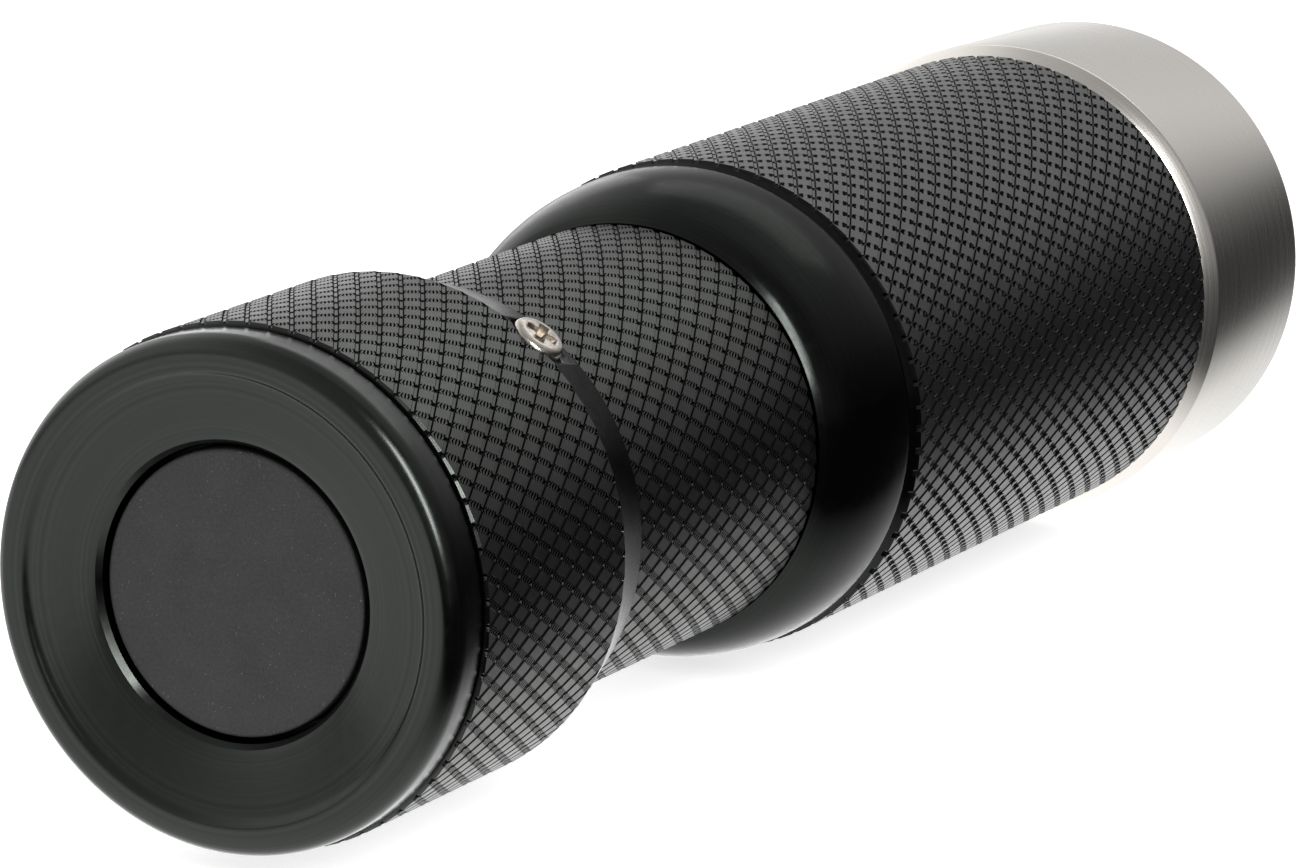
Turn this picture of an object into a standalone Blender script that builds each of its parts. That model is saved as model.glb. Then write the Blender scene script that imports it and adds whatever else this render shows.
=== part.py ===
"""A pocket flashlight with a knurled aluminium body and a tail switch, as separate pieces on one axis.

The flashlight lies on its side along +Y. Its tail button faces -Y and its lens faces +Y.
A station is a distance along the axis from the tail rim. Each piece takes its station and its
radius from the pieces that carry it, so that the stack grows from the tail to the lens.
"""

import math

import bmesh
import bpy
from mathutils import Matrix, Vector

MM = 0.001

# Fits and mesh resolution
CLEARANCE = 0.3 * MM
RING_CLEARANCE = 0.12 * MM
WELD_DISTANCE = 0.001 * MM
BODY_STEPS = 32
INNER_STEPS = 24
SMALL_STEPS = 16
EDGE_STEPS = 4
CURL_STEPS = 10
WIRE_SIDES_LEVEL = 1
SHARP_ANGLE = math.radians(32)

# Cells and the carrier that holds three of them
CELL_COUNT = 3
CELL_RADIUS = 5.1 * MM
CELL_LENGTH = 44.5 * MM
CELL_GAP = 0.2 * MM
CELL_EDGE = 0.5 * MM
CELL_STUD_RADIUS = 1.9 * MM
CELL_STUD_LENGTH = 1.0 * MM
CARRIER_END = 2.2 * MM
CARRIER_CORE_RADIUS = 1.6 * MM
CELL_SPRING_LENGTH = 1.5 * MM
CELL_SPRING_RADIUS = 2.8 * MM
CELL_SPRING_TURNS = 2.5
CONTACT_THICKNESS = 0.4 * MM
CONTACT_RADIUS = 3.6 * MM
SPRING_WIRE_RADIUS = 0.22 * MM

# Battery tube
TUBE_WALL = 1.42 * MM
THREAD_DROP = 0.32 * MM
SEAL_BAND_DROP = 0.12 * MM
TUBE_END_CHAMFER = 0.5 * MM
TAIL_THREAD_LENGTH = 4.9 * MM
SEAL_BAND_LENGTH = 2.4 * MM
HEAD_THREAD_LENGTH = 11.5 * MM
ORING_CORD_RADIUS = 0.4 * MM
ORING_SIDES = 6

# Tail cap
CAP_WALL = 2.14 * MM
CAP_BAND_STEP = 0.25 * MM
CAP_BAND_LENGTH = 1.65 * MM
CAP_EDGE_LENGTH = 1.36 * MM
CAP_EDGE_WIDTH = 1.05 * MM
CAP_GROOVE_LENGTH = 0.4 * MM
CAP_GROOVE_DEPTH = 0.3 * MM
RIM_WIDTH = 1.0 * MM
RIM_STEP_LENGTH = 0.29 * MM
RIM_STEP_WIDTH = 0.17 * MM
DISH_DEPTH = 1.16 * MM
CAP_END_WALL = 2.04 * MM
CAP_LIP_LENGTH = 4.9 * MM
CAP_LIP_EDGE = 0.5 * MM
CAVITY_STEP = 0.5 * MM

# Screw in the cap's front band
SCREW_AZIMUTH = math.radians(53)
SCREW_FROM_LIP = 3.7 * MM
SCREW_HEAD_RADIUS = 1.6 * MM
SCREW_HEAD_HEIGHT = 1.15 * MM
SCREW_HEAD_EDGE = 0.35 * MM
SCREW_SHANK_RADIUS = 0.75 * MM
SCREW_SHANK_LENGTH = 0.75 * MM
SCREW_SEAT_DEPTH = 1.15 * MM
SCREW_RECESS_DEPTH = 0.55 * MM
SCREW_RECESS_SPAN = 1.0 * MM
SCREW_RECESS_WIDTH = 0.32 * MM

# Tail button and switch
BUTTON_RADIUS = 7.97 * MM
BUTTON_GAP = 0.61 * MM
BUTTON_RECESS = 0.49 * MM
BUTTON_EDGE = 0.35 * MM
BUTTON_TRAVEL = 1.5 * MM
BUTTON_FLANGE_RADIUS = 9.6 * MM
BUTTON_FLANGE_THICKNESS = 1.0 * MM
BUTTON_SEAL_THICKNESS = 0.5 * MM
SWITCH_RADIUS = 6.0 * MM
SWITCH_LENGTH = 5.0 * MM
SWITCH_FLOOR = 0.7 * MM
SWITCH_LIP_LENGTH = 0.8 * MM
SWITCH_LIP_RADIUS = 3.5 * MM
PLUNGER_RADIUS = 2.2 * MM
PLUNGER_DIP = 0.7 * MM
SWITCH_SPRING_TURNS = 3
SWITCH_BOARD_THICKNESS = 1.0 * MM
RETAINER_LENGTH = 2.0 * MM
RETAINER_INNER_RADIUS = 8.0 * MM
SPANNER_HOLE_RADIUS = 0.8 * MM
TAIL_SPRING_LENGTH = 5.0 * MM
TAIL_SPRING_TURNS = 4
CONTACT_SPRING_WIDE_RADIUS = 5.0 * MM
CONTACT_SPRING_NARROW_RADIUS = 2.6 * MM
CONTACT_SPRING_WIRE_RADIUS = 0.4 * MM

# Head housing
HEAD_REAR_LENGTH = 27.7 * MM
HEAD_WALL = 2.94 * MM
HEAD_CONE_LENGTH = 1.8 * MM
HEAD_CONE_EDGE = 0.35 * MM
HEAD_CONE_RISE = 1.0 * MM
HEAD_FLARE_LENGTH = 5.4 * MM
HEAD_COLLAR_DROP = 0.22 * MM
HEAD_GROOVE_LENGTH = 0.6 * MM
HEAD_GROOVE_DEPTH = 0.3 * MM
HEAD_CHAMFER = 0.35 * MM
NOSE_BORE_CLEARANCE = 0.3 * MM
NOSE_WALL = 1.2 * MM
MODULE_RADIUS = 12.1 * MM

# Light module
DRIVER_SPRING_LENGTH = 4.0 * MM
DRIVER_SPRING_TURNS = 3.5
DRIVER_BOARD_THICKNESS = 1.2 * MM
INDUCTOR_RADIUS = 2.6 * MM
INDUCTOR_HEIGHT = 3.2 * MM
INDUCTOR_WAIST = 0.7 * MM
INDUCTOR_RIM = 0.6 * MM
PILL_SKIRT = 0.8 * MM
PILL_LENGTH = 14.6 * MM
PILL_DECK = 6.2 * MM
PILL_WALL = 2.2 * MM
LED_BOARD_RADIUS = 8.0 * MM
LED_BOARD_THICKNESS = 1.6 * MM
LED_BOARD_NOTCHES = 6
LED_BOARD_NOTCH_RADIUS = 1.3 * MM
EMITTER_SIDE = 3.5 * MM
EMITTER_THICKNESS = 0.8 * MM
EMITTER_DOME_RADIUS = 1.4 * MM
ISOLATOR_THICKNESS = 0.8 * MM
ISOLATOR_OUTER_RADIUS = 5.2 * MM
LED_WIRE_RADIUS = 0.45 * MM
LED_WIRE_EDGE = 0.5 * MM
LED_WIRE_PAD_EDGE = 1.4 * MM
LED_WIRE_BEND_RADIUS = 1.2 * MM

# Reflector, lens and bezel
REFLECTOR_LENGTH = 19.4 * MM
REFLECTOR_WALL = 0.6 * MM
REFLECTOR_HOLE_RADIUS = 3.6 * MM
REFLECTOR_FLANGE_THICKNESS = 1.2 * MM
REFLECTOR_NECK_LENGTH = 1.4 * MM
REFLECTOR_STEPS = 6
LENS_THICKNESS = 1.8 * MM
LENS_EDGE = 0.25 * MM
GASKET_THICKNESS = 0.8 * MM
GASKET_WIDTH = 1.2 * MM
BEZEL_WALL = 2.0 * MM
BEZEL_LENGTH = 16.0 * MM
BEZEL_LIP_THICKNESS = 1.2 * MM
BEZEL_LIP_INNER_RADIUS = 12.1 * MM
BEZEL_BACK_CHAMFER_LENGTH = 1.1 * MM
BEZEL_BACK_CHAMFER_WIDTH = 0.6 * MM
BEZEL_TAPER = 0.45 * MM
BEZEL_FRONT_EDGE = 0.9 * MM

# Radii that follow from the fits
CELL_CENTRE_RADIUS = (CELL_RADIUS + CELL_GAP / 2) / math.sin(math.pi / CELL_COUNT)
CARRIER_RADIUS = CELL_CENTRE_RADIUS + CELL_RADIUS
TUBE_BORE_RADIUS = CARRIER_RADIUS + CLEARANCE
TUBE_RADIUS = TUBE_BORE_RADIUS + TUBE_WALL
TUBE_THREAD_RADIUS = TUBE_RADIUS - THREAD_DROP
SEAL_BAND_RADIUS = TUBE_RADIUS - SEAL_BAND_DROP
CAP_THREAD_BORE = TUBE_THREAD_RADIUS + CLEARANCE
CAP_LIP_BORE = SEAL_BAND_RADIUS + CLEARANCE
CAP_LIP_RADIUS = CAP_LIP_BORE + CAP_LIP_EDGE
CAP_RADIUS = CAP_THREAD_BORE + CAP_WALL
CAP_BAND_RADIUS = CAP_RADIUS - CAP_BAND_STEP
RIM_OUTER_RADIUS = CAP_BAND_RADIUS - CAP_EDGE_WIDTH
RIM_INNER_RADIUS = RIM_OUTER_RADIUS - RIM_WIDTH
CAP_CAVITY_RADIUS = CAP_THREAD_BORE - CAVITY_STEP
SWITCH_PARTS_RADIUS = CAP_CAVITY_RADIUS - CLEARANCE
BUTTON_HOLE_RADIUS = BUTTON_RADIUS + BUTTON_GAP
NOSE_BORE_RADIUS = MODULE_RADIUS + NOSE_BORE_CLEARANCE
NOSE_RADIUS = NOSE_BORE_RADIUS + NOSE_WALL
HEAD_RADIUS = NOSE_BORE_RADIUS + HEAD_WALL
HEAD_REAR_BORE = TUBE_THREAD_RADIUS + CLEARANCE
HEAD_REAR_RADIUS = HEAD_REAR_BORE + HEAD_CONE_EDGE
BEZEL_BORE_RADIUS = NOSE_RADIUS + CLEARANCE
BEZEL_RADIUS = BEZEL_BORE_RADIUS + BEZEL_WALL
LENS_RADIUS = BEZEL_BORE_RADIUS - CLEARANCE
PILL_CAVITY_RADIUS = MODULE_RADIUS - PILL_WALL
DRIVER_BOARD_RADIUS = PILL_CAVITY_RADIUS - CLEARANCE
LED_WIRE_REACH = PILL_CAVITY_RADIUS - LED_WIRE_EDGE
LED_WIRE_PAD_REACH = LED_BOARD_RADIUS - LED_WIRE_PAD_EDGE

# Stations, from the tail rim towards the lens
END_WALL_BACK = DISH_DEPTH + CAP_END_WALL
BUTTON_SEAL_AT = END_WALL_BACK + CLEARANCE
BUTTON_FLANGE_AT = BUTTON_SEAL_AT + BUTTON_SEAL_THICKNESS + CLEARANCE
BUTTON_BACK = BUTTON_FLANGE_AT + BUTTON_FLANGE_THICKNESS
SWITCH_HOLDER_AT = BUTTON_BACK + BUTTON_TRAVEL + CLEARANCE
SWITCH_AT = SWITCH_HOLDER_AT + SWITCH_LIP_LENGTH + CLEARANCE
SWITCH_BOARD_AT = SWITCH_AT + SWITCH_LENGTH + CLEARANCE
RETAINER_AT = SWITCH_BOARD_AT + SWITCH_BOARD_THICKNESS + CLEARANCE
TUBE_AT = RETAINER_AT + RETAINER_LENGTH + CLEARANCE
SEAL_BAND_AT = TUBE_AT + TAIL_THREAD_LENGTH
CAP_LENGTH = SEAL_BAND_AT + SEAL_BAND_LENGTH
TAIL_SPRING_AT = RETAINER_AT
TAIL_CONTACT_AT = TAIL_SPRING_AT + TAIL_SPRING_LENGTH + CLEARANCE
CARRIER_AT = TAIL_CONTACT_AT + CONTACT_THICKNESS + CLEARANCE
CELL_ROOM = CELL_LENGTH + CELL_SPRING_LENGTH + 3 * CLEARANCE
CARRIER_LENGTH = 2 * CARRIER_END + CELL_ROOM
HEAD_CONTACT_AT = CARRIER_AT + CARRIER_LENGTH + CLEARANCE
DRIVER_SPRING_AT = HEAD_CONTACT_AT + CONTACT_THICKNESS + CLEARANCE
DRIVER_BOARD_AT = DRIVER_SPRING_AT + DRIVER_SPRING_LENGTH + CLEARANCE
PILL_AT = DRIVER_BOARD_AT - PILL_SKIRT
HEAD_AT = PILL_AT - HEAD_REAR_LENGTH
LED_BOARD_AT = PILL_AT + PILL_LENGTH + CLEARANCE
EMITTER_AT = LED_BOARD_AT + LED_BOARD_THICKNESS + CLEARANCE
REFLECTOR_AT = EMITTER_AT + ISOLATOR_THICKNESS + CLEARANCE
REFLECTOR_END = REFLECTOR_AT + REFLECTOR_LENGTH
NOSE_END = REFLECTOR_END - REFLECTOR_FLANGE_THICKNESS - CLEARANCE
LENS_AT = REFLECTOR_END + CLEARANCE
GASKET_AT = LENS_AT + LENS_THICKNESS + CLEARANCE
BEZEL_LIP_AT = GASKET_AT + GASKET_THICKNESS + CLEARANCE
TOTAL_LENGTH = BEZEL_LIP_AT + BEZEL_LIP_THICKNESS
BEZEL_AT = TOTAL_LENGTH - BEZEL_LENGTH
HEAD_SHOULDER = BEZEL_AT - CLEARANCE
TUBE_END = HEAD_AT + HEAD_THREAD_LENGTH
AXIS_HEIGHT = BEZEL_RADIUS * math.cos(math.pi / BODY_STEPS)


def finish(name, color, metallic, roughness):
    """A plain material of that colour."""
    material = bpy.data.materials.new(name)
    material.use_nodes = True
    shader = material.node_tree.nodes["Principled BSDF"]
    shader.inputs["Base Color"].default_value = (*color, 1)
    shader.inputs["Metallic"].default_value = metallic
    shader.inputs["Roughness"].default_value = roughness
    return material


def make_finishes():
    """The materials that the pieces share, by name."""
    return {
        "anodised": finish("black_anodised", (0.02, 0.02, 0.022), 0.6, 0.38),
        "steel": finish("satin_steel", (0.56, 0.54, 0.51), 1.0, 0.3),
        "nickel": finish("nickel_plate", (0.66, 0.64, 0.6), 1.0, 0.22),
        "rubber": finish("black_rubber", (0.018, 0.018, 0.019), 0.0, 0.7),
        "seal": finish("seal_rubber", (0.03, 0.03, 0.03), 0.0, 0.55),
        "plastic": finish("black_plastic", (0.03, 0.03, 0.032), 0.0, 0.45),
        "white": finish("white_plastic", (0.8, 0.8, 0.78), 0.0, 0.4),
        "board": finish("green_board", (0.02, 0.14, 0.06), 0.0, 0.45),
        "brass": finish("brass", (0.72, 0.53, 0.25), 1.0, 0.3),
        "alloy": finish("bare_aluminium", (0.7, 0.7, 0.71), 1.0, 0.35),
        "mirror": finish("reflector_plate", (0.9, 0.9, 0.9), 1.0, 0.06),
        "glass": finish("lens_glass", (0.86, 0.92, 0.9), 0.0, 0.03),
        "cell": finish("cell_sleeve", (0.09, 0.16, 0.34), 0.2, 0.35),
        "ceramic": finish("emitter_ceramic", (0.9, 0.8, 0.35), 0.0, 0.35),
        "ferrite": finish("ferrite", (0.06, 0.06, 0.065), 0.0, 0.6),
        "red": finish("red_wire", (0.55, 0.03, 0.02), 0.0, 0.4),
        "black": finish("black_wire", (0.02, 0.02, 0.02), 0.0, 0.4),
    }


def make_empty(name, parent=None, location=(0, 0, 0), rotation=(0, 0, 0)):
    """An empty that carries a group of pieces, placed on the axis."""
    empty = bpy.data.objects.new(name, None)
    empty.location = location
    empty.rotation_euler = rotation
    empty.parent = parent
    bpy.context.scene.collection.objects.link(empty)
    return empty


def make_groups():
    """The flashlight's axis, and on it one empty for each group that moves."""
    axis = make_empty("flashlight_axis", None, (0, -TOTAL_LENGTH / 2, AXIS_HEIGHT), (-math.pi / 2, 0, 0))
    groups = {"barrel": axis}
    for name in ("carrier", "tail_cap", "button", "lens", "bezel"):
        groups[name] = make_empty(name + "_axis", axis)
    return groups


def place(name, data, material, group, station, angle=0.0, reach=0.0):
    """An object for the data, on the group's axis or at that reach from it."""
    piece = bpy.data.objects.new(name, data)
    piece.parent = group
    piece.location = (reach * math.cos(angle), reach * math.sin(angle), station)
    data.materials.append(material)
    bpy.context.scene.collection.objects.link(piece)
    return piece


def mesh_from(bm, name):
    """A smooth-shaded mesh of the finished bmesh, with its faces pointing out."""
    bmesh.ops.remove_doubles(bm, verts=bm.verts, dist=WELD_DISTANCE)
    bmesh.ops.recalc_face_normals(bm, faces=bm.faces)
    mesh = bpy.data.meshes.new(name)
    bm.to_mesh(mesh)
    bm.free()
    mesh.shade_smooth()
    mesh.set_sharp_from_angle(angle=SHARP_ANGLE)
    return mesh


def turned(name, profile, steps):
    """A mesh turned round the local Z from (radius, height) points, solid where they end on the axis."""
    bm = bmesh.new()
    half_step = Matrix.Rotation(math.pi / steps, 3, "Z")
    verts = [bm.verts.new(half_step @ Vector((radius, 0, height))) for radius, height in profile]
    edges = [bm.edges.new(pair) for pair in zip(verts, verts[1:])]
    if profile[0][0] > 0:
        edges.append(bm.edges.new((verts[-1], verts[0])))
    bmesh.ops.spin(bm, geom=verts + edges, axis=(0, 0, 1), angle=2 * math.pi, steps=steps, use_merge=True)
    return mesh_from(bm, name)


def prism(name, outline, height):
    """A mesh of the flat outline, raised along the local Z."""
    bm = bmesh.new()
    face = bm.faces.new([bm.verts.new((x, y, 0)) for x, y in outline])
    raised = bmesh.ops.extrude_face_region(bm, geom=[face])["geom"]
    top = [part for part in raised if isinstance(part, bmesh.types.BMVert)]
    bmesh.ops.translate(bm, verts=top, vec=(0, 0, height))
    return mesh_from(bm, name)


def wire(name, points, radius):
    """A round wire with closed ends along the points."""
    curve = bpy.data.curves.new(name, "CURVE")
    curve.dimensions = "3D"
    curve.bevel_depth = radius
    curve.bevel_resolution = WIRE_SIDES_LEVEL
    curve.use_fill_caps = True
    spline = curve.splines.new("POLY")
    spline.points.add(len(points) - 1)
    for spot, point in zip(spline.points, points):
        spot.co = (*point, 1)
    return curve


def coil(name, start_radius, end_radius, length, turns, wire_radius):
    """A coil spring along the local Z, whose ends lie inside its length."""
    count = round(turns * CURL_STEPS)
    points = []
    for i in range(count + 1):
        share = i / count
        angle = share * turns * 2 * math.pi
        radius = start_radius + (end_radius - start_radius) * share
        height = wire_radius + (length - 2 * wire_radius) * share
        points.append((radius * math.cos(angle), radius * math.sin(angle), height))
    return wire(name, points, wire_radius)


def disc(radius, thickness, edge=0.0):
    """Profile of a solid disc with chamfered rims, from height 0."""
    if edge == 0:
        return [(0, 0), (radius, 0), (radius, thickness), (0, thickness)]
    return [
        (0, 0),
        (radius - edge, 0),
        (radius, edge),
        (radius, thickness - edge),
        (radius - edge, thickness),
        (0, thickness),
    ]


def ring(inner, outer, thickness):
    """Profile of a flat ring, from height 0."""
    return [(inner, 0), (outer, 0), (outer, thickness), (inner, thickness)]


def arc(centre, radii, start, end, steps):
    """Points of an elliptical arc between two angles in degrees, as (radius, height)."""
    points = []
    for i in range(steps + 1):
        angle = math.radians(start + (end - start) * i / steps)
        points.append((centre[0] + radii[0] * math.cos(angle), centre[1] + radii[1] * math.sin(angle)))
    return points


def combine(target, tool, operation="DIFFERENCE"):
    """Applies the tool's shape to the target with a Boolean, and keeps the tool as a hidden guide."""
    tool.hide_render = True
    tool.display_type = "WIRE"
    modifier = target.modifiers.new(operation.lower(), "BOOLEAN")
    modifier.operation = operation
    modifier.solver = "EXACT"
    modifier.object = tool


def oring(name, centre_radius, material, group, station):
    """A rubber ring of round section, centred on the station."""
    section = arc((centre_radius, 0), (ORING_CORD_RADIUS, ORING_CORD_RADIUS), 0, 360, ORING_SIDES)[:-1]
    return place(name, turned(name, section, INNER_STEPS), material, group, station)


def groove(outer, bottom, centre):
    """Points of an O-ring's groove in a surface that runs along the axis, in order of station."""
    half = ORING_CORD_RADIUS + RING_CLEARANCE
    return [(outer, centre - half), (bottom, centre - half), (bottom, centre + half), (outer, centre + half)]


def oring_centre(bore):
    """Radius of the cord's centre when the ring just clears the bore that it seals."""
    return bore - RING_CLEARANCE - ORING_CORD_RADIUS


def groove_bottom(bore):
    """Radius of the floor under such a ring."""
    return oring_centre(bore) - ORING_CORD_RADIUS - RING_CLEARANCE


def make_tail_cap(groups, finishes):
    """The knurled cap, with a dished face, a hole for the button and a seat for its screw."""
    edge = arc((RIM_OUTER_RADIUS, CAP_EDGE_LENGTH), (CAP_EDGE_WIDTH, CAP_EDGE_LENGTH), -90, 0, EDGE_STEPS)
    band_end = CAP_EDGE_LENGTH + CAP_BAND_LENGTH
    profile = [
        (BUTTON_HOLE_RADIUS, END_WALL_BACK),
        (BUTTON_HOLE_RADIUS, DISH_DEPTH),
        (RIM_INNER_RADIUS - RIM_STEP_WIDTH, RIM_STEP_LENGTH),
        (RIM_INNER_RADIUS, 0),
        *edge,
        (CAP_BAND_RADIUS, band_end),
        (CAP_BAND_RADIUS - CAP_GROOVE_DEPTH, band_end + CAP_GROOVE_LENGTH / 2),
        (CAP_RADIUS, band_end + CAP_GROOVE_LENGTH),
        (CAP_RADIUS, CAP_LENGTH - CAP_LIP_LENGTH),
        (CAP_LIP_RADIUS, CAP_LENGTH),
        (CAP_LIP_BORE, CAP_LENGTH),
        (CAP_LIP_BORE, SEAL_BAND_AT),
        (CAP_THREAD_BORE, SEAL_BAND_AT),
        (CAP_THREAD_BORE, TUBE_AT - CLEARANCE),
        (CAP_CAVITY_RADIUS, TUBE_AT - CLEARANCE),
        (CAP_CAVITY_RADIUS, END_WALL_BACK),
    ]
    group = groups["tail_cap"]
    cap = place("tail_cap", turned("tail_cap", profile, BODY_STEPS), finishes["anodised"], group, 0)
    seat_height = 2 * SCREW_HEAD_HEIGHT
    bore_depth = CAP_WALL
    outline = [
        (0, -bore_depth),
        (SCREW_SHANK_RADIUS + RING_CLEARANCE, -bore_depth),
        (SCREW_SHANK_RADIUS + RING_CLEARANCE, 0),
        (SCREW_HEAD_RADIUS + CLEARANCE, 0),
        (SCREW_HEAD_RADIUS + CLEARANCE, seat_height),
        (0, seat_height),
    ]
    seat = turned("screw_seat_cut", outline, SMALL_STEPS)
    seat_reach = CAP_RADIUS - SCREW_SEAT_DEPTH
    combine(cap, radial("screw_seat_cut", seat, finishes["anodised"], group, seat_reach))


def radial(name, mesh, material, group, reach):
    """Places a mesh on the screw's line, with its local Z pointing away from the axis."""
    piece = place(name, mesh, material, group, CAP_LENGTH - SCREW_FROM_LIP, -SCREW_AZIMUTH, reach)
    piece.rotation_euler = (0, math.pi / 2, -SCREW_AZIMUTH)
    return piece


def make_cap_screw(groups, finishes):
    """The small pan-head screw with a cross recess in the cap's front band."""
    head_top = RING_CLEARANCE + SCREW_HEAD_HEIGHT
    profile = [
        (0, -SCREW_SHANK_LENGTH),
        (SCREW_SHANK_RADIUS, -SCREW_SHANK_LENGTH),
        (SCREW_SHANK_RADIUS, RING_CLEARANCE),
        (SCREW_HEAD_RADIUS, RING_CLEARANCE),
        (SCREW_HEAD_RADIUS, head_top - SCREW_HEAD_EDGE),
        (SCREW_HEAD_RADIUS - SCREW_HEAD_EDGE, head_top),
        (0, head_top),
    ]
    seat = CAP_RADIUS - SCREW_SEAT_DEPTH
    screw_mesh = turned("cap_screw", profile, SMALL_STEPS)
    screw = radial("cap_screw", screw_mesh, finishes["nickel"], groups["tail_cap"], seat)
    half = SCREW_RECESS_WIDTH / 2
    arm = [(SCREW_RECESS_SPAN, -half), (SCREW_RECESS_SPAN, half), (half, half)]
    cross = []
    for quarter in range(4):
        cross += [tuple(Matrix.Rotation(quarter * math.pi / 2, 2) @ Vector(point)) for point in arm]
    recess = prism("screw_recess_cut", cross, 2 * SCREW_RECESS_DEPTH)
    depth = seat + head_top - SCREW_RECESS_DEPTH
    combine(screw, radial("screw_recess_cut", recess, finishes["nickel"], groups["tail_cap"], depth))


def make_button(groups, finishes):
    """The rubber button, its seal against the cap's end wall, and the plunger behind it."""
    face = DISH_DEPTH + BUTTON_RECESS
    profile = [
        (0, face),
        (BUTTON_RADIUS - BUTTON_EDGE, face),
        (BUTTON_RADIUS, face + BUTTON_EDGE),
        (BUTTON_RADIUS, BUTTON_FLANGE_AT),
        (BUTTON_FLANGE_RADIUS, BUTTON_FLANGE_AT),
        (BUTTON_FLANGE_RADIUS, BUTTON_BACK),
        (0, BUTTON_BACK),
    ]
    place("tail_button", turned("tail_button", profile, BODY_STEPS), finishes["rubber"], groups["button"], 0)
    seal = ring(BUTTON_HOLE_RADIUS, BUTTON_FLANGE_RADIUS, BUTTON_SEAL_THICKNESS)
    seal_mesh = turned("button_seal", seal, INNER_STEPS)
    place("button_seal", seal_mesh, finishes["seal"], groups["tail_cap"], BUTTON_SEAL_AT)
    start = BUTTON_BACK + CLEARANCE
    length = SWITCH_AT + PLUNGER_DIP - start
    plunger = turned("switch_plunger", disc(PLUNGER_RADIUS, length), SMALL_STEPS)
    place("switch_plunger", plunger, finishes["white"], groups["button"], start)


def make_switch(groups, finishes):
    """The switch with its spring, holder, board and threaded retainer, which all sit in the cap."""
    cap = groups["tail_cap"]
    bore = PLUNGER_RADIUS + CLEARANCE
    floor = SWITCH_LENGTH - SWITCH_FLOOR
    housing = [
        (0, SWITCH_LENGTH),
        (SWITCH_RADIUS, SWITCH_LENGTH),
        (SWITCH_RADIUS, 0),
        (bore, 0),
        (bore, floor),
        (0, floor),
    ]
    housing_mesh = turned("switch_housing", housing, SMALL_STEPS)
    place("switch_housing", housing_mesh, finishes["plastic"], cap, SWITCH_AT)
    spring_at = PLUNGER_DIP + CLEARANCE
    spring_length = floor - CLEARANCE - spring_at
    spring_radius = PLUNGER_RADIUS - 2 * SPRING_WIRE_RADIUS
    spring = coil(
        "switch_spring", spring_radius, spring_radius, spring_length, SWITCH_SPRING_TURNS, SPRING_WIRE_RADIUS
    )
    place("switch_spring", spring, finishes["steel"], cap, SWITCH_AT + spring_at)
    holder_bore = SWITCH_RADIUS + CLEARANCE
    holder_length = SWITCH_BOARD_AT - CLEARANCE - SWITCH_HOLDER_AT
    holder = [
        (SWITCH_LIP_RADIUS, 0),
        (SWITCH_PARTS_RADIUS, 0),
        (SWITCH_PARTS_RADIUS, holder_length),
        (holder_bore, holder_length),
        (holder_bore, SWITCH_LIP_LENGTH),
        (SWITCH_LIP_RADIUS, SWITCH_LIP_LENGTH),
    ]
    holder_mesh = turned("switch_holder", holder, INNER_STEPS)
    place("switch_holder", holder_mesh, finishes["plastic"], cap, SWITCH_HOLDER_AT)
    board = turned("switch_board", disc(SWITCH_PARTS_RADIUS, SWITCH_BOARD_THICKNESS), INNER_STEPS)
    place("switch_board", board, finishes["board"], cap, SWITCH_BOARD_AT)
    retainer_ring = ring(RETAINER_INNER_RADIUS, SWITCH_PARTS_RADIUS, RETAINER_LENGTH)
    retainer_mesh = turned("switch_retainer", retainer_ring, INNER_STEPS)
    retainer = place("switch_retainer", retainer_mesh, finishes["brass"], cap, RETAINER_AT)
    hole_reach = (RETAINER_INNER_RADIUS + SWITCH_PARTS_RADIUS) / 2
    for side in range(2):
        name = f"spanner_hole_cut_{side + 1}"
        hole = turned(name, disc(SPANNER_HOLE_RADIUS, 2 * RETAINER_LENGTH), SMALL_STEPS // 2)
        start = RETAINER_AT - RETAINER_LENGTH / 2
        combine(retainer, place(name, hole, finishes["brass"], cap, start, side * math.pi, hole_reach))
    tail_spring = coil(
        "tail_contact_spring",
        CONTACT_SPRING_WIDE_RADIUS,
        CONTACT_SPRING_NARROW_RADIUS,
        TAIL_SPRING_LENGTH,
        TAIL_SPRING_TURNS,
        CONTACT_SPRING_WIRE_RADIUS,
    )
    place("tail_contact_spring", tail_spring, finishes["nickel"], cap, TAIL_SPRING_AT)


def make_carrier(groups, finishes):
    """The moulded carrier with its two end contacts, three cells and their springs."""
    group = groups["carrier"]
    frame = turned("cell_carrier", disc(CARRIER_RADIUS, CARRIER_LENGTH), BODY_STEPS)
    carrier = place("cell_carrier", frame, finishes["plastic"], group, CARRIER_AT)
    core = turned("carrier_core_cut", disc(CARRIER_CORE_RADIUS, CELL_ROOM), SMALL_STEPS // 2)
    pocket_at = CARRIER_AT + CARRIER_END
    combine(carrier, place("carrier_core_cut", core, finishes["plastic"], group, pocket_at))
    for index in range(CELL_COUNT):
        angle = index * 2 * math.pi / CELL_COUNT + math.pi / 2
        name = f"cell_pocket_cut_{index + 1}"
        pocket_mesh = turned(name, disc(CELL_RADIUS + CLEARANCE, CELL_ROOM), INNER_STEPS)
        pocket = place(name, pocket_mesh, finishes["plastic"], group, pocket_at, angle, CELL_CENTRE_RADIUS)
        combine(carrier, pocket)
        make_cell(index, angle, pocket_at, group, finishes)
    stations = {"carrier_tail_contact": TAIL_CONTACT_AT, "carrier_head_contact": HEAD_CONTACT_AT}
    for name, station in stations.items():
        contact = turned(name, disc(CONTACT_RADIUS, CONTACT_THICKNESS), SMALL_STEPS)
        place(name, contact, finishes["brass"], group, station)


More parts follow.
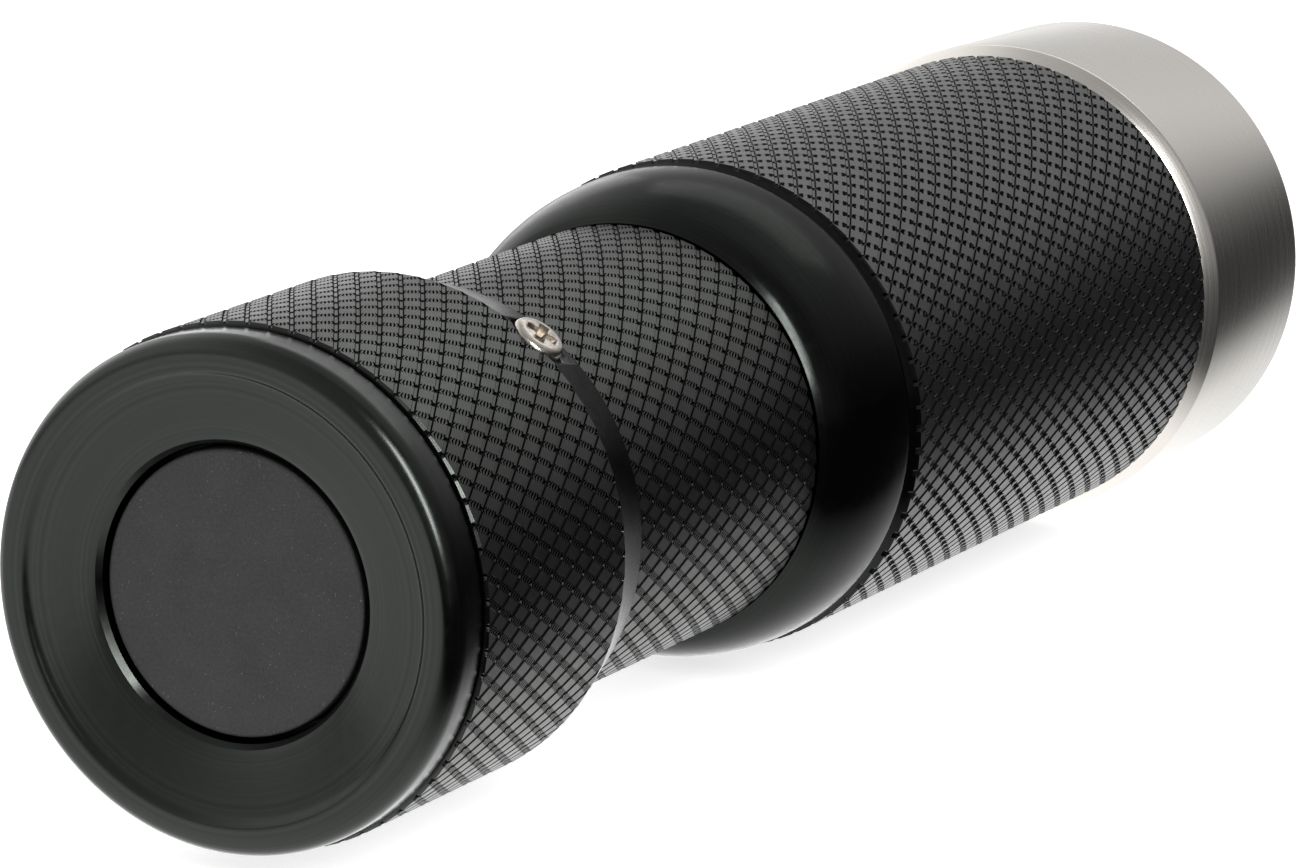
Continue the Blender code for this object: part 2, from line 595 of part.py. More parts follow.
def make_cell(index, angle, pocket_at, group, finishes):
    """One cell and the spring under it. The middle cell points the other way, as in a series pack."""
    reversed_cell = index == 1
    can_length = CELL_LENGTH - CELL_STUD_LENGTH
    profile = [
        (0, 0),
        (CELL_RADIUS - CELL_EDGE, 0),
        (CELL_RADIUS, CELL_EDGE),
        (CELL_RADIUS, can_length - CELL_EDGE),
        (CELL_RADIUS - CELL_EDGE, can_length),
        (CELL_STUD_RADIUS, can_length),
        (CELL_STUD_RADIUS, CELL_LENGTH),
        (0, CELL_LENGTH),
    ]
    spring_room = CELL_SPRING_LENGTH + 2 * CLEARANCE
    cell_at = pocket_at + CLEARANCE if reversed_cell else pocket_at + spring_room
    if reversed_cell:
        profile = [(radius, CELL_LENGTH - height) for radius, height in profile]
    name = f"cell_{index + 1}"
    cell_mesh = turned(name, profile, SMALL_STEPS)
    place(name, cell_mesh, finishes["cell"], group, cell_at, angle, CELL_CENTRE_RADIUS)
    spring_at = cell_at + CELL_LENGTH + CLEARANCE if reversed_cell else pocket_at + CLEARANCE
    narrow = CELL_SPRING_RADIUS - 3 * SPRING_WIRE_RADIUS
    ends = (narrow, CELL_SPRING_RADIUS) if reversed_cell else (CELL_SPRING_RADIUS, narrow)
    name = f"cell_spring_{index + 1}"
    spring = coil(name, *ends, CELL_SPRING_LENGTH, CELL_SPRING_TURNS, SPRING_WIRE_RADIUS)
    place(name, spring, finishes["steel"], group, spring_at, angle, CELL_CENTRE_RADIUS)


def make_tube(groups, finishes):
    """The battery tube, with a thread at each end and a sealing ring behind each thread's shoulder."""
    tail_ring_at = SEAL_BAND_AT + SEAL_BAND_LENGTH / 2
    head_ring_at = HEAD_AT + ORING_CORD_RADIUS * 4
    profile = [
        (TUBE_BORE_RADIUS, TUBE_AT),
        (TUBE_THREAD_RADIUS - TUBE_END_CHAMFER, TUBE_AT),
        (TUBE_THREAD_RADIUS, TUBE_AT + TUBE_END_CHAMFER),
        (TUBE_THREAD_RADIUS, SEAL_BAND_AT + RING_CLEARANCE),
        (SEAL_BAND_RADIUS, SEAL_BAND_AT + RING_CLEARANCE),
        *groove(SEAL_BAND_RADIUS, groove_bottom(CAP_LIP_BORE), tail_ring_at),
        (SEAL_BAND_RADIUS, CAP_LENGTH),
        (TUBE_RADIUS, CAP_LENGTH + CLEARANCE),
        (TUBE_RADIUS, HEAD_AT - CLEARANCE),
        (TUBE_THREAD_RADIUS, HEAD_AT - CLEARANCE),
        *groove(TUBE_THREAD_RADIUS, groove_bottom(HEAD_REAR_BORE), head_ring_at),
        (TUBE_THREAD_RADIUS, TUBE_END - TUBE_END_CHAMFER),
        (TUBE_THREAD_RADIUS - TUBE_END_CHAMFER, TUBE_END),
        (TUBE_BORE_RADIUS, TUBE_END),
    ]
    tube_mesh = turned("battery_tube", profile, BODY_STEPS)
    place("battery_tube", tube_mesh, finishes["anodised"], groups["barrel"], 0)
    oring("tail_oring", oring_centre(CAP_LIP_BORE), finishes["seal"], groups["barrel"], tail_ring_at)
    oring("head_oring", oring_centre(HEAD_REAR_BORE), finishes["seal"], groups["barrel"], head_ring_at)


def make_head(groups, finishes):
    """The head housing: a flared collar, a knurled barrel and the threaded nose that takes the bezel."""
    flare_at = HEAD_AT + HEAD_CONE_LENGTH
    collar_at = flare_at + HEAD_FLARE_LENGTH
    collar_radius = HEAD_RADIUS - HEAD_COLLAR_DROP
    cone_radius = HEAD_REAR_RADIUS + HEAD_CONE_RISE
    flare_radii = (collar_radius - cone_radius, HEAD_FLARE_LENGTH)
    flare = arc((cone_radius, collar_at), flare_radii, -90, 0, EDGE_STEPS)
    groove_at = collar_at + HEAD_GROOVE_LENGTH
    ring_at = HEAD_SHOULDER + ORING_CORD_RADIUS * 3
    profile = [
        (HEAD_REAR_BORE, HEAD_AT),
        (HEAD_REAR_RADIUS, HEAD_AT),
        *flare,
        (collar_radius, groove_at),
        (collar_radius - HEAD_GROOVE_DEPTH, groove_at + HEAD_GROOVE_LENGTH),
        (HEAD_RADIUS, groove_at + 2 * HEAD_GROOVE_LENGTH),
        (HEAD_RADIUS, HEAD_SHOULDER - HEAD_CHAMFER),
        (HEAD_RADIUS - HEAD_CHAMFER, HEAD_SHOULDER),
        (NOSE_RADIUS, HEAD_SHOULDER),
        *groove(NOSE_RADIUS, groove_bottom(BEZEL_BORE_RADIUS), ring_at),
        (NOSE_RADIUS, NOSE_END - HEAD_CHAMFER),
        (NOSE_RADIUS - HEAD_CHAMFER, NOSE_END),
        (NOSE_BORE_RADIUS, NOSE_END),
        (NOSE_BORE_RADIUS, PILL_AT - CLEARANCE),
        (TUBE_BORE_RADIUS, PILL_AT - CLEARANCE),
        (TUBE_BORE_RADIUS, TUBE_END + CLEARANCE),
        (HEAD_REAR_BORE, TUBE_END + CLEARANCE),
    ]
    head_mesh = turned("head_housing", profile, BODY_STEPS)
    place("head_housing", head_mesh, finishes["anodised"], groups["barrel"], 0)
    oring("bezel_oring", oring_centre(BEZEL_BORE_RADIUS), finishes["seal"], groups["barrel"], ring_at)


def make_driver(groups, finishes):
    """The pill that carries the electronics, the driver board in its back and the spring to the carrier."""
    barrel = groups["barrel"]
    deck_at = PILL_LENGTH - PILL_DECK
    profile = [
        (0, deck_at),
        (PILL_CAVITY_RADIUS, deck_at),
        (PILL_CAVITY_RADIUS, 0),
        (MODULE_RADIUS, 0),
        (MODULE_RADIUS, PILL_LENGTH),
        (0, PILL_LENGTH),
    ]
    pill_mesh = turned("driver_pill", profile, INNER_STEPS)
    pill = place("driver_pill", pill_mesh, finishes["alloy"], barrel, PILL_AT)
    for side, wire_color in enumerate(("red", "black")):
        angle = side * math.pi
        name = f"wire_hole_cut_{side + 1}"
        hole = turned(name, disc(LED_WIRE_RADIUS + CLEARANCE, 2 * PILL_DECK), SMALL_STEPS // 2)
        start = PILL_AT + deck_at - PILL_DECK / 2
        reach = LED_WIRE_REACH - LED_WIRE_RADIUS
        combine(pill, place(name, hole, finishes["alloy"], barrel, start, angle, reach))
        make_led_wire(f"led_wire_{wire_color}", angle, finishes[wire_color], barrel)
    board = turned("driver_board", disc(DRIVER_BOARD_RADIUS, DRIVER_BOARD_THICKNESS), INNER_STEPS)
    place("driver_board", board, finishes["board"], barrel, DRIVER_BOARD_AT)
    inductor = [
        (0, 0),
        (INDUCTOR_RADIUS, 0),
        (INDUCTOR_RADIUS, INDUCTOR_RIM),
        (INDUCTOR_RADIUS - INDUCTOR_WAIST, INDUCTOR_RIM),
        (INDUCTOR_RADIUS - INDUCTOR_WAIST, INDUCTOR_HEIGHT - INDUCTOR_RIM),
        (INDUCTOR_RADIUS, INDUCTOR_HEIGHT - INDUCTOR_RIM),
        (INDUCTOR_RADIUS, INDUCTOR_HEIGHT),
        (0, INDUCTOR_HEIGHT),
    ]
    inductor_at = DRIVER_BOARD_AT + DRIVER_BOARD_THICKNESS + CLEARANCE
    inductor_mesh = turned("driver_inductor", inductor, SMALL_STEPS)
    reach = INDUCTOR_RADIUS * 1.2
    place("driver_inductor", inductor_mesh, finishes["ferrite"], barrel, inductor_at, math.pi / 2, reach)
    spring = coil(
        "driver_spring",
        CONTACT_SPRING_NARROW_RADIUS,
        CONTACT_SPRING_WIDE_RADIUS,
        DRIVER_SPRING_LENGTH,
        DRIVER_SPRING_TURNS,
        CONTACT_SPRING_WIRE_RADIUS,
    )
    place("driver_spring", spring, finishes["nickel"], barrel, DRIVER_SPRING_AT)


def make_led_wire(name, angle, material, barrel):
    """A wire from the driver board through the deck, bent inwards over the LED board to its pad."""
    reach = LED_WIRE_REACH - LED_WIRE_RADIUS
    start = DRIVER_BOARD_AT + DRIVER_BOARD_THICKNESS + CLEARANCE
    top = EMITTER_AT + LED_WIRE_RADIUS
    bend = LED_WIRE_BEND_RADIUS
    line = [(reach, start), *arc((reach - bend, top - bend), (bend, bend), 0, 90, EDGE_STEPS)]
    line.append((LED_WIRE_PAD_REACH, top))
    points = [(out * math.cos(angle), out * math.sin(angle), along - start) for out, along in line]
    place(name, wire(name, points, LED_WIRE_RADIUS), material, barrel, start)


def led_board_outline():
    """The round board's outline, with notches for screws and wires on its edge."""
    points = []
    span = 2 * math.pi / LED_BOARD_NOTCHES
    half_notch = math.asin(LED_BOARD_NOTCH_RADIUS / LED_BOARD_RADIUS)
    for notch in range(LED_BOARD_NOTCHES):
        middle = notch * span
        centre = (LED_BOARD_RADIUS * math.cos(middle), LED_BOARD_RADIUS * math.sin(middle))
        inward = math.degrees(middle) + 180
        notch_radii = (LED_BOARD_NOTCH_RADIUS, LED_BOARD_NOTCH_RADIUS)
        points += arc(centre, notch_radii, inward + 90, inward - 90, EDGE_STEPS)
        rim_start = math.degrees(middle + half_notch)
        rim_end = math.degrees(middle + span - half_notch)
        rim = arc((0, 0), (LED_BOARD_RADIUS, LED_BOARD_RADIUS), rim_start, rim_end, EDGE_STEPS)
        points += rim[1:-1]
    return points


def make_light(groups, finishes):
    """The LED board, its emitter, the ring that centres the reflector, and the reflector."""
    barrel = groups["barrel"]
    board = prism("led_board", led_board_outline(), LED_BOARD_THICKNESS)
    place("led_board", board, finishes["alloy"], barrel, LED_BOARD_AT)
    half = EMITTER_SIDE / 2
    square = [(-half, -half), (half, -half), (half, half), (-half, half)]
    chip = prism("led_emitter", square, EMITTER_THICKNESS)
    emitter = place("led_emitter", chip, finishes["ceramic"], barrel, EMITTER_AT)
    dome_profile = [(0, -EMITTER_THICKNESS / 2), (EMITTER_DOME_RADIUS, -EMITTER_THICKNESS / 2)]
    dome_profile += arc((0, 0), (EMITTER_DOME_RADIUS, EMITTER_DOME_RADIUS), 0, 90, EDGE_STEPS)[:-1]
    dome_profile.append((0, EMITTER_DOME_RADIUS))
    dome = turned("emitter_dome_shape", dome_profile, SMALL_STEPS)
    dome_at = EMITTER_AT + EMITTER_THICKNESS
    combine(emitter, place("emitter_dome_shape", dome, finishes["ceramic"], barrel, dome_at), "UNION")
    isolator = ring(REFLECTOR_HOLE_RADIUS, ISOLATOR_OUTER_RADIUS, ISOLATOR_THICKNESS)
    isolator_mesh = turned("reflector_isolator", isolator, INNER_STEPS)
    place("reflector_isolator", isolator_mesh, finishes["white"], barrel, EMITTER_AT)
    make_reflector(barrel, finishes)


def make_reflector(barrel, finishes):
    """The parabolic bowl, whose front flange seats on the nose."""
    front = MODULE_RADIUS - REFLECTOR_WALL
    slope = REFLECTOR_LENGTH / (front**2 - REFLECTOR_HOLE_RADIUS**2)
    bowl = []
    for i in range(REFLECTOR_STEPS + 1):
        radius = REFLECTOR_HOLE_RADIUS + (front - REFLECTOR_HOLE_RADIUS) * i / REFLECTOR_STEPS
        bowl.append((radius, slope * (radius**2 - REFLECTOR_HOLE_RADIUS**2)))
    flange_at = REFLECTOR_LENGTH - REFLECTOR_FLANGE_THICKNESS
    neck_radius = REFLECTOR_HOLE_RADIUS + 2 * REFLECTOR_WALL
    back = [
        (NOSE_RADIUS, REFLECTOR_LENGTH),
        (NOSE_RADIUS, flange_at),
        (MODULE_RADIUS, flange_at),
    ]
    for radius, height in reversed(bowl[1:-1]):
        if radius + 2 * REFLECTOR_WALL < MODULE_RADIUS and height > REFLECTOR_NECK_LENGTH:
            back.append((radius + 2 * REFLECTOR_WALL, height))
    back += [(neck_radius, REFLECTOR_NECK_LENGTH), (neck_radius, 0)]
    reflector = turned("reflector", bowl + back, INNER_STEPS)
    place("reflector", reflector, finishes["mirror"], barrel, REFLECTOR_AT)


def make_front(groups, finishes):
    """The glass lens and its gasket, which lift off with the bezel, and the screwed steel bezel."""
    lens = turned("front_lens", disc(LENS_RADIUS, LENS_THICKNESS, LENS_EDGE), BODY_STEPS)
    place("front_lens", lens, finishes["glass"], groups["lens"], LENS_AT)
    gasket = ring(LENS_RADIUS - GASKET_WIDTH, LENS_RADIUS, GASKET_THICKNESS)
    gasket_mesh = turned("lens_gasket", gasket, INNER_STEPS)
    place("lens_gasket", gasket_mesh, finishes["seal"], groups["lens"], GASKET_AT)
    chamfer_end = BEZEL_AT + BEZEL_BACK_CHAMFER_LENGTH
    front_radius = BEZEL_RADIUS - BEZEL_TAPER
    edge_centre = (front_radius - BEZEL_FRONT_EDGE, TOTAL_LENGTH - BEZEL_FRONT_EDGE)
    profile = [
        (BEZEL_BORE_RADIUS, BEZEL_AT),
        (BEZEL_RADIUS - BEZEL_BACK_CHAMFER_WIDTH, BEZEL_AT),
        (BEZEL_RADIUS, chamfer_end),
        *arc(edge_centre, (BEZEL_FRONT_EDGE, BEZEL_FRONT_EDGE), 0, 90, EDGE_STEPS),
        (BEZEL_LIP_INNER_RADIUS, TOTAL_LENGTH),
        (BEZEL_LIP_INNER_RADIUS, BEZEL_LIP_AT),
        (BEZEL_BORE_RADIUS, BEZEL_LIP_AT),
    ]
    place("bezel_ring", turned("bezel_ring", profile, BODY_STEPS), finishes["steel"], groups["bezel"], 0)


def clear_scene():
    """Removes every object of the open scene."""
    for old in list(bpy.data.objects):
        bpy.data.objects.remove(old)


def main():
    """Builds the flashlight."""
    clear_scene()
    groups = make_groups()
    finishes = make_finishes()
    make_tail_cap(groups, finishes)
    make_cap_screw(groups, finishes)
    make_button(groups, finishes)
    make_switch(groups, finishes)
    make_carrier(groups, finishes)
    make_tube(groups, finishes)
    make_head(groups, finishes)
    make_driver(groups, finishes)
    make_light(groups, finishes)
    make_front(groups, finishes)
    bpy.context.view_layer.update()


main()
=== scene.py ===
"""Dresses the flashlight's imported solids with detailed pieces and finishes, and sets its light and camera.

Stations run along +Y from the tail rim, and radii from the flashlight's axis, both in millimetres.
"""
import math

import bmesh
import bpy
import numpy as np
from mathutils import Matrix, Vector


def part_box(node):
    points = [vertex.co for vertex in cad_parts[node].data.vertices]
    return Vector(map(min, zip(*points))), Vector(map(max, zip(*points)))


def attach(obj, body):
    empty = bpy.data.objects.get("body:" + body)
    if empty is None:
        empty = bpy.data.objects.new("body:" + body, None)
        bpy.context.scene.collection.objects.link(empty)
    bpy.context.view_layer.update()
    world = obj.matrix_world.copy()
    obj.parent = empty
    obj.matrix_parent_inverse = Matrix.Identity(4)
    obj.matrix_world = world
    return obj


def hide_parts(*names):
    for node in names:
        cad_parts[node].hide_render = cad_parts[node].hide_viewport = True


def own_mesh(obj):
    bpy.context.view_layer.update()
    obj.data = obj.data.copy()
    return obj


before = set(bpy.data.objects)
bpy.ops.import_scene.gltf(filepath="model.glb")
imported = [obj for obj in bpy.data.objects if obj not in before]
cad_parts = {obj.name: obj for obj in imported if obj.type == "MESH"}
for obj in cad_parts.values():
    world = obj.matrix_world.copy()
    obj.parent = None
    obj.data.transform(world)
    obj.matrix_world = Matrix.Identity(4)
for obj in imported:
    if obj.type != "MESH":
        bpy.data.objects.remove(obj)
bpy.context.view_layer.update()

MM = 0.001
CAP_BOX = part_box("tail_cap")
TAIL_Y = CAP_BOX[0][1]
AXIS_Z = (CAP_BOX[0][2] + CAP_BOX[1][2]) / 2


def stations(node):
    """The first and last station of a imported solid, to the nearest micrometre."""
    low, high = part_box(node)
    return round((low[1] - TAIL_Y) / MM, 3), round((high[1] - TAIL_Y) / MM, 3)


# Mesh resolution
STEPS = 192
DISC_STEPS = 128
RING_STEPS = 96
SOFT_STEPS = 3
SHARP_ANGLE = math.radians(24)

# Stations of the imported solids
CAP_LENGTH = stations("tail_cap")[1]
BUTTON_BACK = stations("tail_button")[1]
TUBE_AT, TUBE_END = stations("battery_tube")
HEAD_AT, NOSE_END = stations("head_housing")
BEZEL_AT, LENGTH = stations("bezel_ring")
LENS_AT, LENS_END = stations("front_lens")
GASKET_AT, GASKET_END = stations("lens_gasket")
REFLECTOR_AT, REFLECTOR_END = stations("reflector")
EMITTER_AT = stations("led_emitter")[0]

# Room between pieces
CLEARANCE = 0.3
RING_CLEARANCE = 0.12

# Sealing rings: their cord's radius, and their grooves' middle stations and floors
CORD_RADIUS = 0.4
RING_FLOORS = {"tail": 11.964, "head": 11.764, "bezel": 12.86}
RINGS = {name: (sum(stations(f"{name}_oring")) / 2, floor) for name, floor in RING_FLOORS.items()}

# Radii along the tube and the cap
TUBE_BORE = 11.404
TUBE_RADIUS = TUBE_BORE + 1.42
THREAD_RADIUS = TUBE_RADIUS - 0.32
SEAL_BAND_RADIUS = TUBE_RADIUS - 0.12
CAP_BORE = THREAD_RADIUS + CLEARANCE
LIP_BORE = SEAL_BAND_RADIUS + CLEARANCE
CAVITY_RADIUS = CAP_BORE - 0.5
CAP_RADIUS = CAP_BORE + 2.14
BAND_RADIUS = CAP_RADIUS - 0.25

# Radii along the head and the bezel
MODULE_RADIUS = 12.1
NOSE_BORE = MODULE_RADIUS + 0.3
NOSE_RADIUS = NOSE_BORE + 1.2
HEAD_RADIUS = NOSE_BORE + 2.94
COLLAR_RADIUS = HEAD_RADIUS - 0.22
BEZEL_BORE = NOSE_RADIUS + CLEARANCE
BEZEL_RADIUS = BEZEL_BORE + 2.0
LENS_RADIUS = BEZEL_BORE - CLEARANCE

# Threads: the flanks rise from a flat root to a flat crest
THREAD_PITCH = 1.25
THREAD_FLAT = 0.15
THREAD_STEPS = 8
THREAD_ROOT = 12.2
THREAD_HEIGHT = 0.36
CAP_THREAD_RADIUS = CAP_BORE + 0.056
CAP_THREAD_HEIGHT = 0.3
NOSE_THREAD_ROOT = 13.3
BEZEL_THREAD_RADIUS = BEZEL_BORE + 0.05
BEZEL_THREAD_HEIGHT = 0.28

# Knurl: two families of grooves at this angle to the axis. Sides and ticks are shares of a cell, and drops
# are shares of the depth
KNURL_ANGLE = math.radians(30)
KNURL_DEPTH = 0.23
KNURL_SLOTTED_SIDE = 0.165
KNURL_RIDGED_SIDE = 0.13
KNURL_NOTCH = 0.045
KNURL_TICK = ((0.24, False), (0.35, True), (0.65, True), (0.76, False))
KNURL_TOOTH_DROP = 0.16
KNURL_VALLEY = 0.1
KNURL_VALLEY_DROP = 0.7
KNURL_RIDGE = 0.072
KNURL_RIDGE_END = 0.13
KNURL_RIDGE_DROP = 0.35
# A bevel's length on the UV map
BEVEL_PATH = 0.2

# Places of a shell's looks among its materials
SMOOTH_LOOK, LAND_LOOK, WALL_LOOK, SLOT_LOOK, LIP_LOOK = range(5)


def spot(theta, station, radius):
    """World positions of points at those angles, stations and radii."""
    theta, station, radius = np.broadcast_arrays(theta, station, radius)
    x = radius * np.cos(theta) * MM
    y = TAIL_Y + station * MM
    z = AXIS_Z + radius * np.sin(theta) * MM
    return np.stack([x, y, z], -1)


def add_object(name, data):
    """Adds an object to the scene."""
    made = bpy.data.objects.new(name, data)
    bpy.context.scene.collection.objects.link(made)
    return made


def mesh_object(name, bm, sharp=SHARP_ANGLE, smooth=True):
    """An object of the finished bmesh. Its faces are smooth all over, or as they are."""
    bmesh.ops.recalc_face_normals(bm, faces=bm.faces)
    mesh = bpy.data.meshes.new(name)
    bm.to_mesh(mesh)
    bm.free()
    if smooth:
        mesh.shade_smooth()
    mesh.set_sharp_from_angle(angle=sharp)
    return add_object(name, mesh)


def soft(corners):
    """A profile of (station, radius) from (station, radius, rounding) corners. Its two ends stay sharp."""
    points = [tuple(corners[0][:2])]
    for before, corner, after in zip(corners, corners[1:], corners[2:]):
        at = np.array(corner[:2], float)
        if len(corner) < 3 or corner[2] == 0:
            points.append(tuple(at))
            continue
        back, ahead = np.array(before[:2]) - at, np.array(after[:2]) - at
        reach = min(corner[2], 0.45 * np.hypot(*back), 0.45 * np.hypot(*ahead))
        start, end = at + back / np.hypot(*back) * reach, at + ahead / np.hypot(*ahead) * reach
        for step in range(SOFT_STEPS + 1):
            w = step / SOFT_STEPS
            points.append(tuple((1 - w) ** 2 * start + 2 * w * (1 - w) * at + w * w * end))
    points.append(tuple(corners[-1][:2]))
    return points


def elbow(centre, radii, start, end, steps):
    """Points of an elliptical arc about the centre, between two angles in degrees."""
    angles = np.radians(np.linspace(start, end, steps + 1))
    return [(centre[0] + radii[0] * math.cos(a), centre[1] + radii[1] * math.sin(a)) for a in angles]


def ring_groove(ring, land, edge):
    """Corners of the groove that a sealing ring lies in, sunk into a land with rounded edges."""
    station, floor = RINGS[ring]
    half = CORD_RADIUS + RING_CLEARANCE
    start, end = station - half, station + half
    return [(start, land, edge), (start, floor, 0.15), (end, floor, 0.15), (end, land, edge)]


class Skin:
    """Rings of points round the axis, and the faces between them."""

    def __init__(self, steps=STEPS):
        self.even = np.arange(steps) * math.tau / steps
        self.parts, self.faces, self.looks = [], [], []
        self.count, self.path, self.last = 0, 0.0, None
        self.look = SMOOTH_LOOK

    def add(self, theta, station, radius, path):
        """Adds points and returns their numbers."""
        theta, station, radius, path = np.broadcast_arrays(theta, station, radius, path)
        self.parts.append(np.stack([theta, station, radius, path], -1).reshape(-1, 4))
        numbers = np.arange(self.count, self.count + theta.size)
        self.count += theta.size
        return numbers

    def face(self, corners):
        """Adds a face of the present look."""
        self.faces.append(corners)
        self.looks.append(self.look)

    def ring(self, station, radius):
        """A ring, or one point where the radius is 0. Its path grows by the distance from the last one."""
        here = (float(np.mean(station)), float(np.mean(radius)))
        last = self.last or here
        self.path += math.hypot(here[0] - last[0], here[1] - last[1])
        self.last = here
        if np.ndim(radius) == 0 and radius == 0:
            return self.add(np.array([0.0]), station, 0.0, self.path)
        return self.add(self.even, station, radius, self.path)

    def at(self):
        """All points so far, as rows of angle, station, radius and path."""
        return np.concatenate(self.parts)

    def join(self, a, b):
        """Faces between two rings, as quads where they match and as triangles where they don't."""
        n, m = len(a), len(b)
        if n == m or 1 in (n, m):
            for i in range(max(n, m)):
                k = (i + 1) % max(n, m)
                self.face(tuple(dict.fromkeys((a[i % n], a[k % n], b[k % m], b[i % m]))))
            return
        at = self.at()
        ta, tb = at[a, 0] % math.tau, at[b, 0] % math.tau
        a, b = a[np.argsort(ta)], b[np.argsort(tb)]
        ta, tb = np.sort(ta), np.sort(tb)
        i = j = 0
        while i < n or j < m:
            next_a = ta[(i + 1) % n] + math.tau * ((i + 1) // n)
            next_b = tb[(j + 1) % m] + math.tau * ((j + 1) // m)
            if j >= m or (i < n and next_a <= next_b):
                self.face((a[i % n], a[(i + 1) % n], b[j % m]))
                i += 1
            else:
                self.face((a[i % n], b[(j + 1) % m], b[j % m]))
                j += 1

    def turn(self, profile, start=None, look=SMOOTH_LOOK):
        """Rings for the (station, radius) profile, joined on from the start. Returns the first and last."""
        self.look = look
        first = last = start
        for station, radius in profile:
            ring = self.ring(station, radius)
            if last is None:
                first = ring
            else:
                self.join(last, ring)
            last = ring
        return first, last

    def piece(self, name, finishes, smooth_looks=(SMOOTH_LOOK,)):
        """The finished object, with a UV map that unrolls it round the axis."""
        at = self.at()
        bm = bmesh.new()
        path = bm.verts.layers.float.new("path")
        turn = bm.verts.layers.float.new("turn")
        places = spot(at[:, 0], at[:, 1], at[:, 2])
        verts = []
        for place, row in zip(places, at):
            vert = bm.verts.new(place)
            vert[path], vert[turn] = row[3], row[0] % math.tau
            verts.append(vert)
        for corners, look in zip(self.faces, self.looks):
            face = bm.faces.new([verts[i] for i in corners])
            face.material_index = look
            face.smooth = look in smooth_looks
        bmesh.ops.remove_doubles(bm, verts=bm.verts, dist=2e-7)
        uv = bm.loops.layers.uv.new("OFBake")
        for face in bm.faces:
            turns = [loop.vert[turn] / math.tau for loop in face.loops]
            split = max(turns) - min(turns) > 0.5
            for loop, u in zip(face.loops, turns):
                u += 1 if split and u < 0.5 else 0
                loop[uv].uv = (0.01 + 0.94 * u, 0.01 + 0.98 * loop.vert[path] / self.path)
        piece = mesh_object(name, bm, smooth=False)
        for finish in finishes:
            piece.data.materials.append(FINISHES[finish])
        return piece


def knurl_template(ticks):
    """Points (a, b, depth share) and the two halves of one knurl cell, which has grooves along its sides.

    The groove along a = 0 is shallow, with narrow slots across it. The one along b = 0 is deep, with a flat
    ridge in its floor. The halves mirror each other. A half is its part of the cell's top, and its lands,
    walls and slots.
    """
    points, numbers = [], {}

    def at(a, b, depth):
        key = (round(a, 6), round(b, 6))
        if key not in numbers:
            numbers[key] = len(points)
            points.append((a, b, depth))
        return numbers[key]

    side, end = KNURL_SLOTTED_SIDE, KNURL_RIDGED_SIDE
    halves = []
    for flip in (False, True):
        def to(along, across, depth, flip=flip):
            return at(1 - across, 1 - along, depth) if flip else at(across, along, depth)

        lands, walls, slots = [], [], []
        floor = [to(0, 0, 1)]
        edge = [to(end, side, 0)]
        for tick in range(ticks):
            for share, slot in KNURL_TICK:
                step = (tick + share) / ticks
                floor.append(to(step, 0, 1 if slot else KNURL_TOOTH_DROP))
                edge.append(to(end + (1 - 2 * end) * step, side + (KNURL_NOTCH if slot else 0), 0))
        floor.append(to(1, 0, 1))
        edge.append(to(1 - end, side, 0))
        for k in range(len(floor) - 1):
            strip = (floor[k], floor[k + 1], edge[k + 1], edge[k])
            (slots if k % 4 else lands if 0 < k < len(floor) - 2 else walls).append(strip)
        corner = to(1 - end, 1 - side, 0)
        valley_ends = (KNURL_VALLEY, 1 - KNURL_VALLEY)
        ridge_ends = (KNURL_RIDGE_END, 1 - KNURL_RIDGE_END)
        valley = [to(1 - KNURL_VALLEY, across, KNURL_VALLEY_DROP) for across in valley_ends]
        rise = [to(1 - KNURL_RIDGE, across, KNURL_RIDGE_DROP) for across in ridge_ends]
        crest = [to(1, across, KNURL_RIDGE_DROP) for across in ridge_ends]
        node = [floor[-1], to(1, 1, 1)]
        walls += [
            (edge[-1], corner, valley[1], valley[0]),
            (valley[0], valley[1], rise[1], rise[0]),
            (node[0], edge[-1], valley[0]),
            (node[0], valley[0], rise[0], crest[0]),
            (corner, node[1], valley[1]),
            (node[1], crest[1], rise[1], valley[1]),
        ]
        lands.append((rise[0], rise[1], crest[1], crest[0]))
        halves.append((edge + [corner], lands, walls, slots))
    return np.array(points), halves


def knurl(skin, start, radius, starts, rows, ticks, shift=0.0):
    """Adds a band of diamond knurling, turned by the shift's share of a start.

    Returns its open ends as arrays of angles, stations and radii, and its end station.
    """
    pitch = math.tau * radius / starts
    half = pitch / (2 * math.tan(KNURL_ANGLE))
    turn = shift * math.tau / starts
    points, (down, up) = knurl_template(ticks)
    columns = np.arange(starts)
    path = skin.path

    def place(row, columns, a, b, depth):
        """Angles, stations and radii of a row's points, from their places in a cell."""
        theta = (pitch * (2 * columns + row + a + b) / 2 / radius + turn) % math.tau
        return np.broadcast_arrays(theta, start + (row + a - b) * half, radius - KNURL_DEPTH * depth)

    for row in range(rows + 1):
        theta, station, deep = place(row, columns[:, None], *points.T)
        first = skin.count
        skin.add(theta, station, deep, path + station - start)
        shown = [up] if row == 0 else [down] if row == rows else [up, down]
        top = up[0][:-1] + down[0][:-1] if len(shown) == 2 else shown[0][0]
        outlines = [(LAND_LOOK, top)]
        for look in (LAND_LOOK, WALL_LOOK, SLOT_LOOK):
            outlines += [(look, outline) for half_cell in shown for outline in half_cell[look]]
        for column in range(starts):
            base = first + column * len(points)
            for look, outline in outlines:
                skin.look = look
                skin.face(tuple(base + i for i in outline))
    end = start + rows * half
    skin.path = path + rows * half
    skin.last = (end, radius - KNURL_DEPTH)

    def rim(row):
        """An open end: each column's groove crossing and the two land corners beside it."""
        side, end = KNURL_SLOTTED_SIDE, KNURL_RIDGED_SIDE
        shares = ((0, 0, 1), (side, end, 0), (1 - side, 1 - end, 0))
        corners = np.concatenate([place(row, columns, *share) for share in shares], 1)
        return corners[:, np.argsort(corners[0])]

    return rim(0), rim(rows), end


